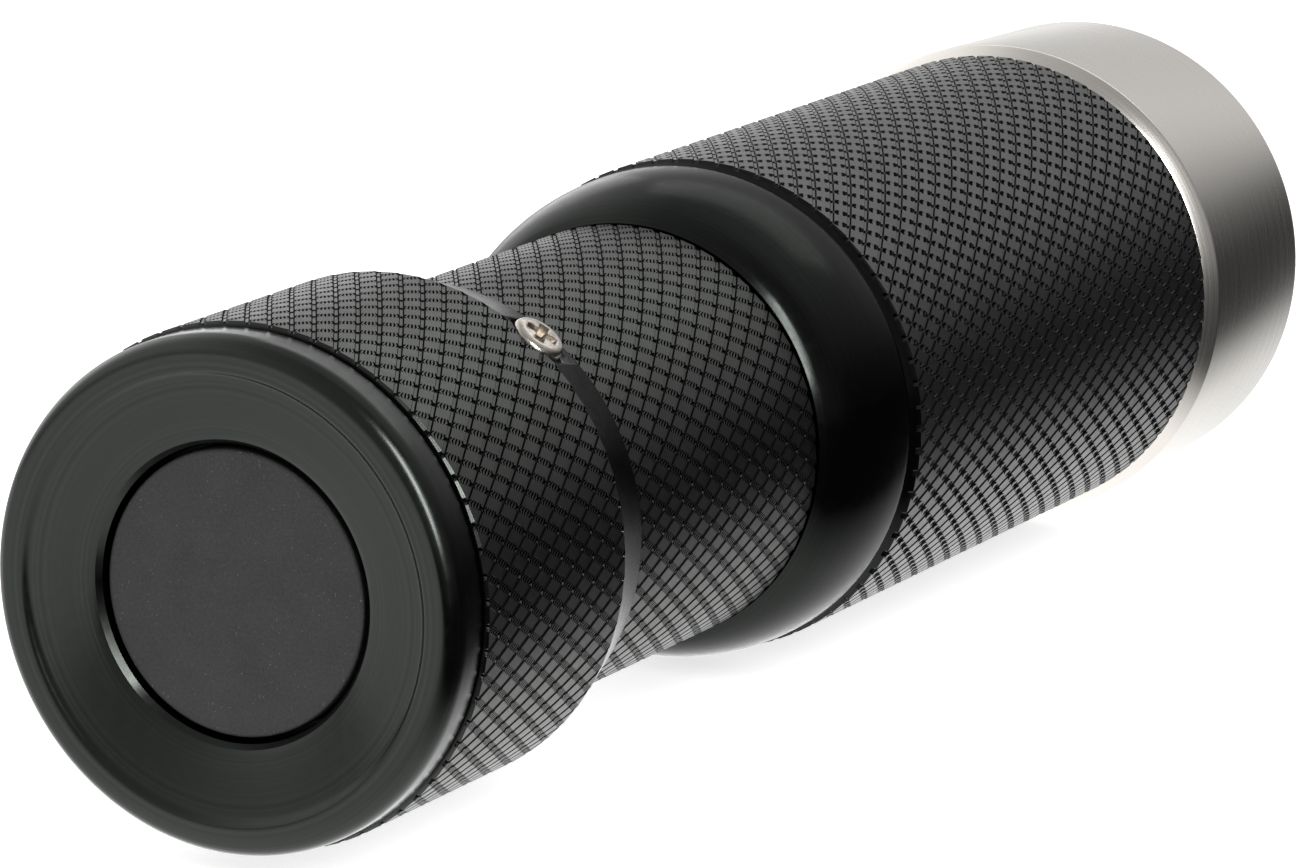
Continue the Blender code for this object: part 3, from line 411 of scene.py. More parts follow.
def bevel_rim(skin, rim, end):
    """Joins the knurl's open end to a ring with the same angles at the end (station, radius)."""
    skin.look = SMOOTH_LOOK
    first = skin.add(*rim, skin.path)
    skin.path += BEVEL_PATH
    second = skin.add(rim[0], *end, skin.path)
    skin.join(first, second)
    skin.last = end
    return second


def grip(skin, last, start, radius, starts, rows, ticks, before, after, shift=0.0):
    """A knurled band joined on from the last ring. Returns the ring after it and its (station, radius).

    before and after say how far past the band's ends its bevels go, and to which radii.
    """
    opening, closing, end = knurl(skin, start, radius, starts, rows, ticks, shift)
    skin.join(last, bevel_rim(skin, opening, (start - before[0], before[1])))
    place = (end + after[0], after[1])
    return bevel_rim(skin, closing, place), place


def thread(skin, last, start, end, root, height):
    """Rings of a V thread between two stations, joined on from the last ring. Its ends fade out.

    A bore's thread, which runs towards the tail, is left nearly plain.
    """
    count = round((end - start) / THREAD_PITCH * THREAD_STEPS) if end > start else 2
    skin.look = SMOOTH_LOOK
    for k in range(count + 1):
        share = k / count
        station = start + (end - start) * share
        wave = np.abs(((station / THREAD_PITCH - skin.even / math.tau) % 1) * 2 - 1)
        fade = min(1, share * count / THREAD_STEPS, (1 - share) * count / THREAD_STEPS)
        profile = np.clip(wave * (1 + 2 * THREAD_FLAT) - THREAD_FLAT, 0, 1)
        ring = skin.ring(station, root + height * fade * profile)
        skin.join(last, ring)
        last = ring
    return last


def loft(bm, rings, steps):
    """Faces between rings of that many vertices each, or of one at a tip."""
    faces = []
    for a, b in zip(rings, rings[1:]):
        for k in range(steps):
            n = (k + 1) % steps
            corners = dict.fromkeys((a[k % len(a)], a[n % len(a)], b[n % len(b)], b[k % len(b)]))
            faces.append(bm.faces.new(list(corners)))
    return faces


def lathe_z(name, profile, steps, place, sharp=SHARP_ANGLE):
    """A solid turned round the local Z from (radius, height) in millimetres, put in place by the matrix."""
    bm = bmesh.new()
    rings = []
    for radius, height in profile:
        points = [Vector((0, 0, height * MM))]
        if radius:
            turns = [math.tau * k / steps for k in range(steps)]
            points = [Vector((radius * math.cos(turn), radius * math.sin(turn), height)) for turn in turns]
            points = [point.lerp(Vector(), 1 - MM) for point in points]
        rings.append([bm.verts.new(place @ point) for point in points])
    loft(bm, rings, steps)
    return mesh_object(name, bm, sharp)


class Nodes:
    """Adds nodes to a node tree, in short form."""

    def __init__(self, tree):
        self.tree = tree

    def feed(self, socket, value):
        """Gives an input a value, or links it to another node's output."""
        if isinstance(value, bpy.types.NodeSocket):
            self.tree.links.new(value, socket)
        else:
            socket.default_value = value

    def node(self, kind, inputs=(), **settings):
        """A shader node with its settings and its inputs' values or links."""
        node = self.tree.nodes.new("ShaderNode" + kind)
        for key, value in settings.items():
            setattr(node, key, value)
        for key, value in dict(inputs).items():
            self.feed(node.inputs[key], value)
        return node

    def math(self, operation, *values):
        return self.node("Math", enumerate(values), operation=operation).outputs[0]

    def between(self, value, start, end, low=0.0, high=1.0):
        """Goes from low to high as the value goes from start to end."""
        ends = {"From Min": start, "From Max": end, "To Min": low, "To Max": high}
        return self.node("MapRange", {"Value": value, **ends}).outputs[0]

    def blend(self, share, first, second):
        """A colour that goes from the first to the second with the share."""
        mix = self.node("Mix", {"Factor": share, "A": first, "B": second}, data_type="RGBA")
        return mix.outputs["Result"]

    def split(self, coordinates):
        """The X, Y and Z of the texture coordinates of that name."""
        where = self.node("TexCoord").outputs[coordinates]
        return self.node("SeparateXYZ", {"Vector": where}).outputs


FINISHES = {}
# Noise mostly stays between these values
NOISE_LOW, NOISE_HIGH = 0.3, 0.7
# How much faster a lathe mark's place moves outwards than along the axis
LATHE_SLANT = 1.37


class Finish(Nodes):
    """A procedural material, kept in FINISHES by its name."""

    def __init__(self, name, color, roughness, metallic=0.0, **values):
        self.material = bpy.data.materials.new(name)
        self.material.use_nodes = True
        super().__init__(self.material.node_tree)
        FINISHES[name] = self.material
        self.shader = self.tree.nodes["Principled BSDF"]
        self.color = color
        self.bump = None
        values |= {"Base_Color": (*color, 1), "Roughness": roughness, "Metallic": metallic}
        for socket, value in values.items():
            self.set(socket.replace("_", " "), value)

    def set(self, socket, value):
        self.feed(self.shader.inputs[socket], value)

    def noise(self, scale, detail=3.0):
        """Noise whose scale is in features per millimetre."""
        place = self.node("TexCoord").outputs["Object"]
        where = self.node("Mapping", {"Vector": place, "Scale": (scale / MM,) * 3}).outputs[0]
        return self.node("TexNoise", {"Vector": where, "Scale": 1.0, "Detail": detail}).outputs["Fac"]

    def rings(self, scale):
        """Noise that only changes along the profile, as a lathe tool leaves it."""
        x, y, z = self.split("Object")
        up = self.math("SUBTRACT", z, AXIS_Z)
        square = self.math("ADD", self.math("MULTIPLY", x, x), self.math("MULTIPLY", up, up))
        along = self.math("MULTIPLY_ADD", self.math("SQRT", square), LATHE_SLANT, y)
        where = self.math("MULTIPLY", along, scale / MM)
        settings = {"W": where, "Scale": 1.0, "Detail": 2.0}
        return self.node("TexNoise", settings, noise_dimensions="1D").outputs["Fac"]

    def vary(self, socket, source, low, high):
        """The socket runs from low to high with the noise."""
        self.set(socket, self.between(source, NOISE_LOW, NOISE_HIGH, low, high))

    def tone(self, source, low, high):
        """The base colour varies between these shares of it with the noise."""
        share = self.between(source, NOISE_LOW, NOISE_HIGH)
        dark, pale = ((*(c * level for c in self.color), 1) for level in (low, high))
        self.set("Base Color", self.blend(share, dark, pale))

    def specks(self, scale, color):
        """Sparse pale specks of dust over the base colour, where the noise is highest."""
        dots = self.between(self.noise(scale, 0.0), 0.78, 0.84)
        under = self.shader.inputs["Base Color"].links[0].from_socket
        self.set("Base Color", self.blend(dots, under, (*color, 1)))

    def relief(self, source, height):
        """Raises the surface by that many millimetres where the source is 1."""
        inputs = {"Height": source, "Strength": 1.0, "Distance": height * MM}
        if self.bump:
            inputs["Normal"] = self.bump
        self.bump = self.node("Bump", inputs).outputs[0]
        self.set("Normal", self.bump)


def anodised(name, base, roughness, tint, marks=0.0, grit=0.0):
    """An anodised metal finish with lathe marks or grit of that height in millimetres."""
    f = Finish(name, base, roughness, 1.0, Specular_Tint=(tint, tint, tint, 1))
    f.vary("Roughness", f.noise(1.5), roughness - 0.03, roughness + 0.04)
    if marks:
        f.relief(f.rings(9.0), marks)
    if grit:
        f.relief(f.noise(14.0, 4.0), grit)
    f.tone(f.rings(3.5) if marks else f.noise(0.35), 0.9, 1.1)


def make_shell_finishes():
    """The black anodised looks of the cap, the tube and the head. The knurl lands are brighter copies, which
    is painted light, and the cap's groove walls, slot floors and lip are darker copies, which is painted
    shade.
    """
    anodised("cap_smooth", (0.032, 0.0348, 0.0322), 0.23, 0.9, marks=0.003)
    # Painted shade: the lip is a darker copy of the smooth anodising, with a dimmer reflection.
    anodised("lip_painted_shade", (0.028, 0.03, 0.0285), 0.22, 0.6, marks=0.001)
    # Painted light: the knurl lands are a brighter copy of the black anodising.
    anodised("cap_land_painted_light", (0.08, 0.084, 0.079), 0.37, 0.8, grit=0.004)
    # Painted shade: the knurl's groove walls are a darker, duller copy of the anodising.
    anodised("cap_groove_painted_shade", (0.02, 0.0205, 0.02), 0.42, 0.7, grit=0.016)
    anodised("head_smooth", (0.0172, 0.0188, 0.0175), 0.2, 0.68, marks=0.001)
    # Painted light: the head's knurl lands are a brighter copy of its anodising.
    anodised("head_land_painted_light", (0.08, 0.083, 0.081), 0.36, 1.0, grit=0.004)
    anodised("head_groove", (0.02, 0.0205, 0.0205), 0.42, 0.85, grit=0.01)
    # Painted shade: the slot floors are near black, standing in for the shade down in the narrow slots.
    anodised("slot", (0.004, 0.004, 0.004), 0.45, 0.3, grit=0.01)


def make_metals():
    """The steel, nickel, brass and bare alloy, and a dark brown copy of the nickel that is painted shade in
    the screw's recess.
    """
    f = Finish("satin_steel_turned", (0.6, 0.575, 0.54), 0.27, 1.0)
    f.relief(f.rings(7.0), 0.0012)
    f.vary("Roughness", f.rings(3.0), 0.25, 0.3)

    f = Finish("spring_steel", (0.58, 0.57, 0.55), 0.28, 1.0)
    f.vary("Roughness", f.noise(2.0), 0.22, 0.38)

    f = Finish("nickel_bright", (0.4, 0.37, 0.33), 0.24, 1.0)
    f.vary("Roughness", f.noise(3.0), 0.16, 0.34)
    f.relief(f.noise(6.0), 0.01)

    # Painted shade: a dark brown copy of the nickel, standing in for the shade inside the screw's recess.
    f = Finish("recess_painted_shade", (0.16, 0.13, 0.1), 0.4, 1.0)
    f.relief(f.noise(6.0), 0.01)

    f = Finish("brass_turned", (0.72, 0.53, 0.25), 0.3, 1.0)
    f.relief(f.rings(6.0), 0.003)

    f = Finish("alloy_turned", (0.7, 0.7, 0.71), 0.32, 1.0)
    f.relief(f.rings(6.0), 0.003)
    f.vary("Roughness", f.noise(1.0), 0.26, 0.4)

    f = Finish("reflector_mirror", (0.9, 0.9, 0.9), 0.05, 1.0)
    f.vary("Roughness", f.noise(0.5), 0.03, 0.08)


def make_soft_finishes():
    """The rubbers, plastics and insulation."""
    f = Finish("button_rubber", (0.0122, 0.013, 0.0122), 0.6, Specular_IOR_Level=0.42)
    f.relief(f.noise(9.0, 5.0), 0.022)
    f.vary("Roughness", f.noise(0.5), 0.56, 0.66)
    f.tone(f.noise(6.0), 0.6, 1.5)
    f.specks(7.0, (0.07, 0.07, 0.07))

    f = Finish("seal_rubber_soft", (0.02, 0.02, 0.02), 0.5)
    f.relief(f.noise(5.0), 0.01)

    f = Finish("moulded_black", (0.03, 0.03, 0.032), 0.45)
    f.relief(f.noise(4.0), 0.01)
    f.vary("Roughness", f.noise(0.6), 0.4, 0.55)

    f = Finish("moulded_white", (0.78, 0.78, 0.75), 0.42)
    f.relief(f.noise(4.0), 0.006)

    for name, color in (("red", (0.55, 0.03, 0.02)), ("black", (0.02, 0.02, 0.02))):
        f = Finish(name + "_insulation", color, 0.4)
        f.tone(f.noise(1.0), 0.9, 1.1)


def make_light_finishes():
    """The lens, the emitter, and the boards and cells that feed it."""
    f = Finish("clear_glass", (0.95, 0.985, 0.97), 0.02, Transmission_Weight=1.0, IOR=1.5)
    f.vary("Roughness", f.noise(0.3), 0.01, 0.03)

    f = Finish("phosphor", (0.88, 0.74, 0.16), 0.5)
    f.tone(f.noise(3.0), 0.9, 1.05)

    f = Finish("silicone_dome", (0.97, 0.97, 0.95), 0.03, Transmission_Weight=1.0, IOR=1.41)
    f.vary("Roughness", f.noise(0.5), 0.02, 0.05)

    f = Finish("board_mask", (0.015, 0.12, 0.045), 0.35, Coat_Weight=0.4)
    f.tone(f.noise(1.2), 0.8, 1.2)
    f.relief(f.noise(1.6), 0.02)

    f = Finish("ferrite_core", (0.06, 0.06, 0.065), 0.6)
    f.relief(f.noise(4.0), 0.02)

    f = Finish("cell_label", (0.09, 0.16, 0.34), 0.32, Coat_Weight=0.5)
    f.tone(f.noise(0.2), 0.9, 1.1)


def show(piece, body, node):
    """The piece rides on the body and stands for the node, whose part is hidden."""
    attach(piece, body)
    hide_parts(node)


def turned_piece(name, profile, finish, body, node, steps=DISC_STEPS, closed=False):
    """A ring or disc turned from (station, radius) points. A closed profile joins its end to its start."""
    skin = Skin(steps)
    first, last = skin.turn(profile)
    if closed:
        skin.join(last, first)
    show(skin.piece(name, [finish]), body, node)


def cut(target, tool):
    """Takes the tool's shape out of the target for good."""
    modifier = target.modifiers.new("cut", "BOOLEAN")
    modifier.operation, modifier.solver, modifier.object = "DIFFERENCE", "EXACT", tool
    modifier.material_mode = "TRANSFER"
    bpy.context.view_layer.update()
    shape = bpy.data.meshes.new_from_object(target.evaluated_get(bpy.context.evaluated_depsgraph_get()))
    target.modifiers.clear()
    target.data = shape
    bpy.data.objects.remove(tool)


# The screw, and its seat in the cap's lip
SCREW_AZIMUTH = math.radians(53)
SCREW_AT = CAP_LENGTH - 3.7
SCREW_SEAT = CAP_RADIUS - 1.15
SCREW_HEAD = 1.6
SCREW_HEIGHT = 1.15
SCREW_LIFT = 0.12
SHANK_RADIUS = 0.75
SHANK_LENGTH = 0.75
SEAT_STEPS = 64
# The recess's arms, from above the head down into it: height over the head's top, reach and half width
RECESS_ENDS = ((0.2, 1.12, 0.34), (-0.6, 0.62, 0.17))
RECESS_TURN = math.radians(22)


def screw_frame():
    """A matrix whose Z points out of the cap from the screw's seat, and whose Y runs along the axis."""
    out = Vector((math.cos(SCREW_AZIMUTH), 0, math.sin(SCREW_AZIMUTH)))
    along = Vector((0, 1, 0))
    turn = Matrix((along.cross(out), along, out)).transposed().to_4x4()
    return Matrix.Translation(spot(SCREW_AZIMUTH, SCREW_AT, SCREW_SEAT)) @ turn


# The cap's dished face and its edges
END_WALL_BACK = 3.2
BUTTON_HOLE = 8.36
DISH_DEPTH = 1.22
DISH_STEP = (0.29, 12.474)
RIM_INNER = 12.8
RIM_OUTER = 13.644
EDGE_LENGTH = 1.36
BAND_END = 3.0
CAP_GROOVE = 14.46
CAP_GRIP = dict(start=3.41, radius=CAP_RADIUS, starts=66, rows=13, ticks=5, shift=0.55,
                before=(0.13, 14.8), after=(0.05, 14.91))
LIP_FOOT = 13.57
LIP_EDGE = 13.42
SEAL_BAND_AT = TUBE_AT + 4.9


def make_cap():
    """The tail cap: dished face, knurled band, smooth lip, threaded bore and the seat for its screw."""
    skin = Skin()
    cavity_at = TUBE_AT - CLEARANCE
    inside = [(cavity_at, CAP_BORE), (cavity_at, CAVITY_RADIUS, 0), (END_WALL_BACK, CAVITY_RADIUS, 0.3),
              (END_WALL_BACK, BUTTON_HOLE, 0.08), (DISH_DEPTH, BUTTON_HOLE, 0.85), (*DISH_STEP, 0.35),
              (0, RIM_INNER, 0.3), (0, RIM_OUTER, 0.02)]
    edge = elbow((EDGE_LENGTH, RIM_OUTER), (EDGE_LENGTH, BAND_RADIUS - RIM_OUTER), 180, 90, 12)[1:]
    groove = [edge[-1], (BAND_END, BAND_RADIUS, 0.06), (BAND_END + 0.15, CAP_GROOVE, 0.05),
              (BAND_END + 0.24, CAP_GROOVE + 0.04)]
    first, last = skin.turn(soft(inside) + edge + soft(groove)[1:])
    last, place = grip(skin, last, **CAP_GRIP)
    lip = [place, (place[0] + 0.09, place[1] - 0.04, 0.05), (CAP_LENGTH - 0.25, LIP_FOOT, 0.1),
           (CAP_LENGTH, LIP_EDGE, 0.08), (CAP_LENGTH, LIP_BORE, 0.1), (SEAL_BAND_AT, LIP_BORE, 0.05),
           (SEAL_BAND_AT, CAP_BORE)]
    _, last = skin.turn(soft(lip)[1:], start=last, look=LIP_LOOK)
    last = thread(skin, last, SEAL_BAND_AT - 0.2, TUBE_AT - 0.1, CAP_THREAD_RADIUS, CAP_THREAD_HEIGHT)
    skin.join(last, first)
    # The land look is painted light; the groove, slot and lip looks are painted shade.
    looks = ("cap_smooth", "cap_land_painted_light", "cap_groove_painted_shade", "slot", "lip_painted_shade")
    cap = skin.piece("cap_shell", looks, smooth_looks=(SMOOTH_LOOK, LIP_LOOK))
    for radius, low, high, steps in ((SCREW_HEAD + 0.3, 0, 3, SEAT_STEPS), (SHANK_RADIUS + 0.12, -3, 1, 32)):
        outline = [(0, low), (radius, low), (radius, high), (0, high)]
        cut(cap, lathe_z("seat_tool", outline, steps, screw_frame()))
    show(cap, "tail_cap", "tail_cap")


def make_screw():
    """The pan-head screw with a cross recess whose arms slope inwards. The recess's walls take a finish that
    is painted shade.
    """
    top = SCREW_LIFT + SCREW_HEIGHT
    profile = [(0, -SHANK_LENGTH), (SHANK_RADIUS - 0.07, -SHANK_LENGTH), (SHANK_RADIUS, 0.09 - SHANK_LENGTH),
               (SHANK_RADIUS, SCREW_LIFT), (SCREW_HEAD - 0.04, SCREW_LIFT), (SCREW_HEAD, SCREW_LIFT + 0.05)]
    profile += elbow((SCREW_HEAD - 0.5, top - 0.44), (0.5, 0.4), 0, 90, 6)
    profile += [(0.6, top - 0.01), (0, top)]
    place = screw_frame()
    screw = lathe_z("screw_head", profile, SEAT_STEPS, place, math.radians(40))
    screw.data.materials.append(FINISHES["nickel_bright"])
    for quarter in range(2):
        turn = Matrix.Rotation(RECESS_TURN + quarter * math.pi / 2, 4, "Z")
        bm = bmesh.new()
        ends = []
        for over, reach, width in RECESS_ENDS:
            outline = ((-reach, -width), (reach, -width), (reach, width), (-reach, width))
            corners = [Vector((x * MM, y * MM, (top + over) * MM)) for x, y in outline]
            ends.append([bm.verts.new(place @ turn @ corner) for corner in corners])
        for end in ends:
            bm.faces.new(end)
        loft(bm, ends, 4)
        tool = mesh_object("recess_tool", bm)
        # The recess walls take the painted-shade finish.
        tool.data.materials.append(FINISHES["recess_painted_shade"])
        cut(screw, tool)
    show(screw, "tail_cap", "cap_screw")


BUTTON_RADIUS = 7.95
BUTTON_EDGE = BUTTON_RADIUS + 0.17
BUTTON_FACE_AT = 1.6
BUTTON_FLANGE = 9.6
FLANGE_THICKNESS = 1.0


def make_button():
    """The flat rubber button, flanged behind the cap's end wall."""
    face, flange = BUTTON_FACE_AT, BUTTON_BACK - FLANGE_THICKNESS
    profile = [(face, 0), (face + 0.01, 4.0, 1.0), (face + 0.03, BUTTON_RADIUS, 0.1),
               (face + 0.12, BUTTON_EDGE - 0.01, 0.1), (face + 0.35, BUTTON_EDGE, 0.1),
               (flange, BUTTON_EDGE, 0.1), (flange, BUTTON_FLANGE, 0.2), (BUTTON_BACK, BUTTON_FLANGE, 0.2),
               (BUTTON_BACK, 0)]
    turned_piece("button_pad", soft(profile), "button_rubber", "button", "tail_button")


TUBE_GRIP = dict(start=CAP_LENGTH + 0.42, radius=TUBE_RADIUS, starts=56, rows=19, ticks=5,
                 before=(0.15, 12.62), after=(0.06, 12.7))


def make_tube():
    """The battery tube with its knurled grip, threads and sealing grooves."""
    skin = Skin()
    mouth = THREAD_ROOT - 0.2
    start = [(TUBE_AT, TUBE_BORE), (TUBE_AT, mouth, 0.05), (TUBE_AT + 0.3, THREAD_ROOT, 0.1),
             (TUBE_AT + 0.5, THREAD_ROOT + 0.05)]
    first, last = skin.turn(soft(start))
    last = thread(skin, last, TUBE_AT + 0.6, SEAL_BAND_AT, THREAD_ROOT, THREAD_HEIGHT)
    land_at, land = SEAL_BAND_AT + 0.12, SEAL_BAND_RADIUS
    tail = [(SEAL_BAND_AT + 0.05, THREAD_ROOT), (land_at, THREAD_ROOT, 0.02), (land_at, land, 0.08),
            *ring_groove("tail", land, 0.06), (CAP_LENGTH, land, 0.02), (CAP_LENGTH + 0.22, land - 0.104)]
    _, last = skin.turn(soft(tail), start=last)
    last, place = grip(skin, last, **TUBE_GRIP)
    grip_end = HEAD_AT - CLEARANCE
    land_end = HEAD_AT + 2.4
    head = [place, (grip_end, 12.66, 0), (grip_end, THREAD_RADIUS, 0.03),
            *ring_groove("head", THREAD_RADIUS, 0.06),
            (land_end, THREAD_RADIUS, 0.05), (land_end + 0.2, THREAD_ROOT)]
    _, last = skin.turn(soft(head)[1:], start=last)
    last = thread(skin, last, land_end + 0.3, TUBE_END - 0.5, THREAD_ROOT, THREAD_HEIGHT)
    end = [(TUBE_END - 0.45, THREAD_ROOT), (TUBE_END, mouth, 0.05), (TUBE_END, TUBE_BORE)]
    _, last = skin.turn(soft(end), start=last)
    skin.join(last, first)
    # The land look is painted light; the groove and slot looks are painted shade.
    tube = skin.piece("tube_shell", ("cap_smooth", "cap_land_painted_light", "cap_groove_painted_shade", "slot"))
    show(tube, "barrel", "battery_tube")


# The head: an elliptical flare that starts steeply from a short chamfer, and a groove before the knurl
FLARE_TOP = 56.1
FLARE_LENGTH = 7.744
FLARE_RISE = 3.501
FLARE_ROOT_ANGLE = 153.33
COLLAR_END = 56.7
COLLAR_GROOVE = 14.84
HEAD_GRIP = dict(start=57.98, radius=HEAD_RADIUS, starts=68, rows=36, ticks=2,
                 before=(0.22, COLLAR_RADIUS), after=(0.1, 15.2))
PILL_ROOM_AT = stations("driver_pill")[0] - CLEARANCE


def make_head():
    """The head housing: flare and collar, knurled barrel and threaded nose."""
    skin = Skin()
    step_at = TUBE_END + CLEARANCE
    inside = [(PILL_ROOM_AT, TUBE_BORE), (step_at, TUBE_BORE, 0.1), (step_at, CAP_BORE, 0.1),
              (HEAD_AT, CAP_BORE, 0.03), (HEAD_AT, CAP_BORE + 0.036)]
    centre = (FLARE_TOP, COLLAR_RADIUS - FLARE_RISE)
    flare = elbow(centre, (FLARE_LENGTH, FLARE_RISE), FLARE_ROOT_ANGLE, 90, 20)
    groove = [flare[-1], (COLLAR_END, COLLAR_RADIUS, 0.12), (COLLAR_END + 0.55, COLLAR_GROOVE, 0.06),
              (COLLAR_END + 0.65, COLLAR_GROOVE, 0.06), (COLLAR_END + 0.98, COLLAR_RADIUS - 0.04)]
    first, last = skin.turn(soft(inside) + flare + soft(groove)[1:])
    last, place = grip(skin, last, **HEAD_GRIP)
    shoulder = BEZEL_AT - CLEARANCE
    thread_at = BEZEL_AT + 2.05
    root = NOSE_THREAD_ROOT
    nose = [place, (shoulder, 15.1, 0.05), (shoulder, NOSE_RADIUS, 0.1),
            *ring_groove("bezel", NOSE_RADIUS, 0.08), (thread_at - 0.25, NOSE_RADIUS, 0.1),
            (thread_at - 0.1, root)]
    _, last = skin.turn(soft(nose)[1:], start=last)
    last = thread(skin, last, thread_at, NOSE_END - 0.8, root, THREAD_HEIGHT)
    front = [(NOSE_END - 0.7, root), (NOSE_END - 0.35, root, 0.1), (NOSE_END, root - 0.2, 0.1),
             (NOSE_END, NOSE_BORE, 0.1), (PILL_ROOM_AT, NOSE_BORE, 0.1), inside[0]]
    _, last = skin.turn(soft(front)[:-1], start=last)
    skin.join(last, first)
    # The land look is painted light.
    head = skin.piece("head_shell", ("head_smooth", "head_land_painted_light", "head_groove", "head_groove"))
    show(head, "barrel", "head_housing")


BEZEL_CHAMFER = 0.78
BEZEL_TAPER = 0.45
BEZEL_FRONT_EDGE = 0.9
BEZEL_LIP = 1.2


def make_bezel():
    """The satin steel bezel with its back chamfer, soft front edge and threaded bore."""
    skin = Skin()
    bore = BEZEL_THREAD_RADIUS
    back = [(BEZEL_AT + 1.4, bore), (BEZEL_AT + 0.35, bore, 0.1), (BEZEL_AT, bore + 0.25, 0.1),
            (BEZEL_AT, BEZEL_RADIUS - BEZEL_CHAMFER, 0.06), (BEZEL_AT + BEZEL_CHAMFER, BEZEL_RADIUS, 0.1)]
    centre = (LENGTH - BEZEL_FRONT_EDGE, BEZEL_RADIUS - BEZEL_TAPER - BEZEL_FRONT_EDGE)
    front = elbow(centre, (BEZEL_FRONT_EDGE, BEZEL_FRONT_EDGE), 90, 0, 10)
    lip_back = LENGTH - BEZEL_LIP
    inner = [front[-1], (LENGTH, MODULE_RADIUS + 0.35, 0.2), (LENGTH - 0.4, MODULE_RADIUS, 0.1),
             (lip_back, MODULE_RADIUS, 0.05), (lip_back, BEZEL_BORE, 0.1), (NOSE_END, bore)]
    first, last = skin.turn(soft([*back, front[0]]) + front[1:] + soft(inner)[1:])
    last = thread(skin, last, NOSE_END - 0.2, BEZEL_AT + 1.7, bore, -BEZEL_THREAD_HEIGHT)
    skin.join(last, first)
    show(skin.piece("bezel_shell", ["satin_steel_turned"]), "bezel", "bezel_ring")


# The reflector: its bowl is a parabola from the emitter's hole to the mouth
REFLECTOR_HOLE = 3.6
REFLECTOR_MOUTH = 11.5
REFLECTOR_FLANGE = 1.2
REFLECTOR_WALL = 1.15
REFLECTOR_BACK = (10.9, 5.4)
REFLECTOR_NECK = 4.8
GASKET_WIDTH = 1.2


def parabola(start, end, count, wall=0.0):
    """Points of the bowl between two of its radii, moved outwards by the wall."""
    hole = REFLECTOR_HOLE**2
    slope = (REFLECTOR_END - REFLECTOR_AT) / (REFLECTOR_MOUTH**2 - hole)
    return [(REFLECTOR_AT + slope * (r * r - hole), r + wall) for r in np.linspace(start, end, count)]


def make_front():
    """The lens, its gasket and the reflector behind it."""
    lens = [(LENS_AT, 0), (LENS_AT, LENS_RADIUS, 0.25), (LENS_END, LENS_RADIUS, 0.25), (LENS_END, 0)]
    turned_piece("lens_disc", soft(lens), "clear_glass", "lens", "front_lens")
    inner = LENS_RADIUS - GASKET_WIDTH
    middle = (GASKET_AT, LENS_RADIUS - GASKET_WIDTH / 2)
    gasket = [middle, (GASKET_AT, inner, 0.2), (GASKET_END, inner, 0.2), (GASKET_END, LENS_RADIUS, 0.2),
              (GASKET_AT, LENS_RADIUS, 0.2), middle]
    turned_piece("gasket_ring", soft(gasket)[:-1], "seal_rubber_soft", "lens", "lens_gasket",
                 closed=True)
    bowl = parabola(REFLECTOR_HOLE, REFLECTOR_MOUTH, 33)
    outer = parabola(*REFLECTOR_BACK, 12, REFLECTOR_WALL)
    flange_at = REFLECTOR_END - REFLECTOR_FLANGE
    flange = [bowl[-1], (REFLECTOR_END, LENS_RADIUS, 0.1), (flange_at, LENS_RADIUS, 0.05),
              (flange_at, MODULE_RADIUS, 0.05), outer[0]]
    neck = [outer[-1], (REFLECTOR_AT + 1.4, REFLECTOR_NECK, 0.1), (REFLECTOR_AT, REFLECTOR_NECK, 0.1),
            bowl[0]]
    profile = bowl + soft(flange)[1:] + outer[1:] + soft(neck)[1:-1]
    turned_piece("reflector_bowl", profile, "reflector_mirror", "barrel", "reflector",
                 closed=True)


def make_rings():
    """The three sealing rings as smooth round cords."""
    for name, (station, floor) in RINGS.items():
        centre = (station, floor + RING_CLEARANCE + CORD_RADIUS)
        section = elbow(centre, (CORD_RADIUS, CORD_RADIUS), 0, 360, 14)[:-1]
        turned_piece(f"{name}_ring_cord", section, "seal_rubber_soft", "barrel", f"{name}_oring",
                     RING_STEPS, closed=True)


# Springs: their end turns lie flat, and thick wire is nickel-plated
SPRING_FLAT_TURNS = 0.3
SPRING_STEPS = 30
WIRE_SIDES = 12
FINE_WIRE = 0.22
THICK_WIRE = 0.4
CELL_REACH = 6.0
CELL_SPRING_RADII = (2.8, 2.14)
CONTACT_SPRING_RADII = (5.0, 2.6)
SWITCH_SPRING_RADII = (1.76, 1.76)


def coil_points(station, radii, length, turns, wire, centre):
    """World points of a coil spring's middle line from that station on."""
    count = round(turns * SPRING_STEPS)
    points = []
    for i in range(count + 1):
        turn = turns * i / count
        climb = min(max((turn - SPRING_FLAT_TURNS) / (turns - 2 * SPRING_FLAT_TURNS), 0), 1)
        radius = radii[0] + (radii[1] - radii[0]) * i / count
        angle = turn * math.tau
        along = station + wire + (length - 2 * wire) * climb
        across, up = centre[0] + radius * math.cos(angle), centre[1] - radius * math.sin(angle)
        points.append(Vector((across * MM, TAIL_Y + along * MM, AXIS_Z + up * MM)))
    return points


def wire_mesh(name, points, radius):
    """A round wire through the points, closed at both ends."""
    bm = bmesh.new()
    rings = []
    lead = None
    for i, point in enumerate(points):
        ahead = (points[min(i + 1, len(points) - 1)] - points[max(i - 1, 0)]).normalized()
        if lead is None:
            lead = ahead.orthogonal().normalized()
        lead = (lead - ahead * lead.dot(ahead)).normalized()
        side = ahead.cross(lead)
        ring = []
        for k in range(WIRE_SIDES):
            angle = math.tau * k / WIRE_SIDES
            ring.append(bm.verts.new(point + (lead * math.cos(angle) + side * math.sin(angle)) * radius))
        rings.append(ring)
    loft(bm, rings, WIRE_SIDES)
    bm.faces.new(rings[0])
    bm.faces.new(rings[-1])
    return mesh_object(name, bm)


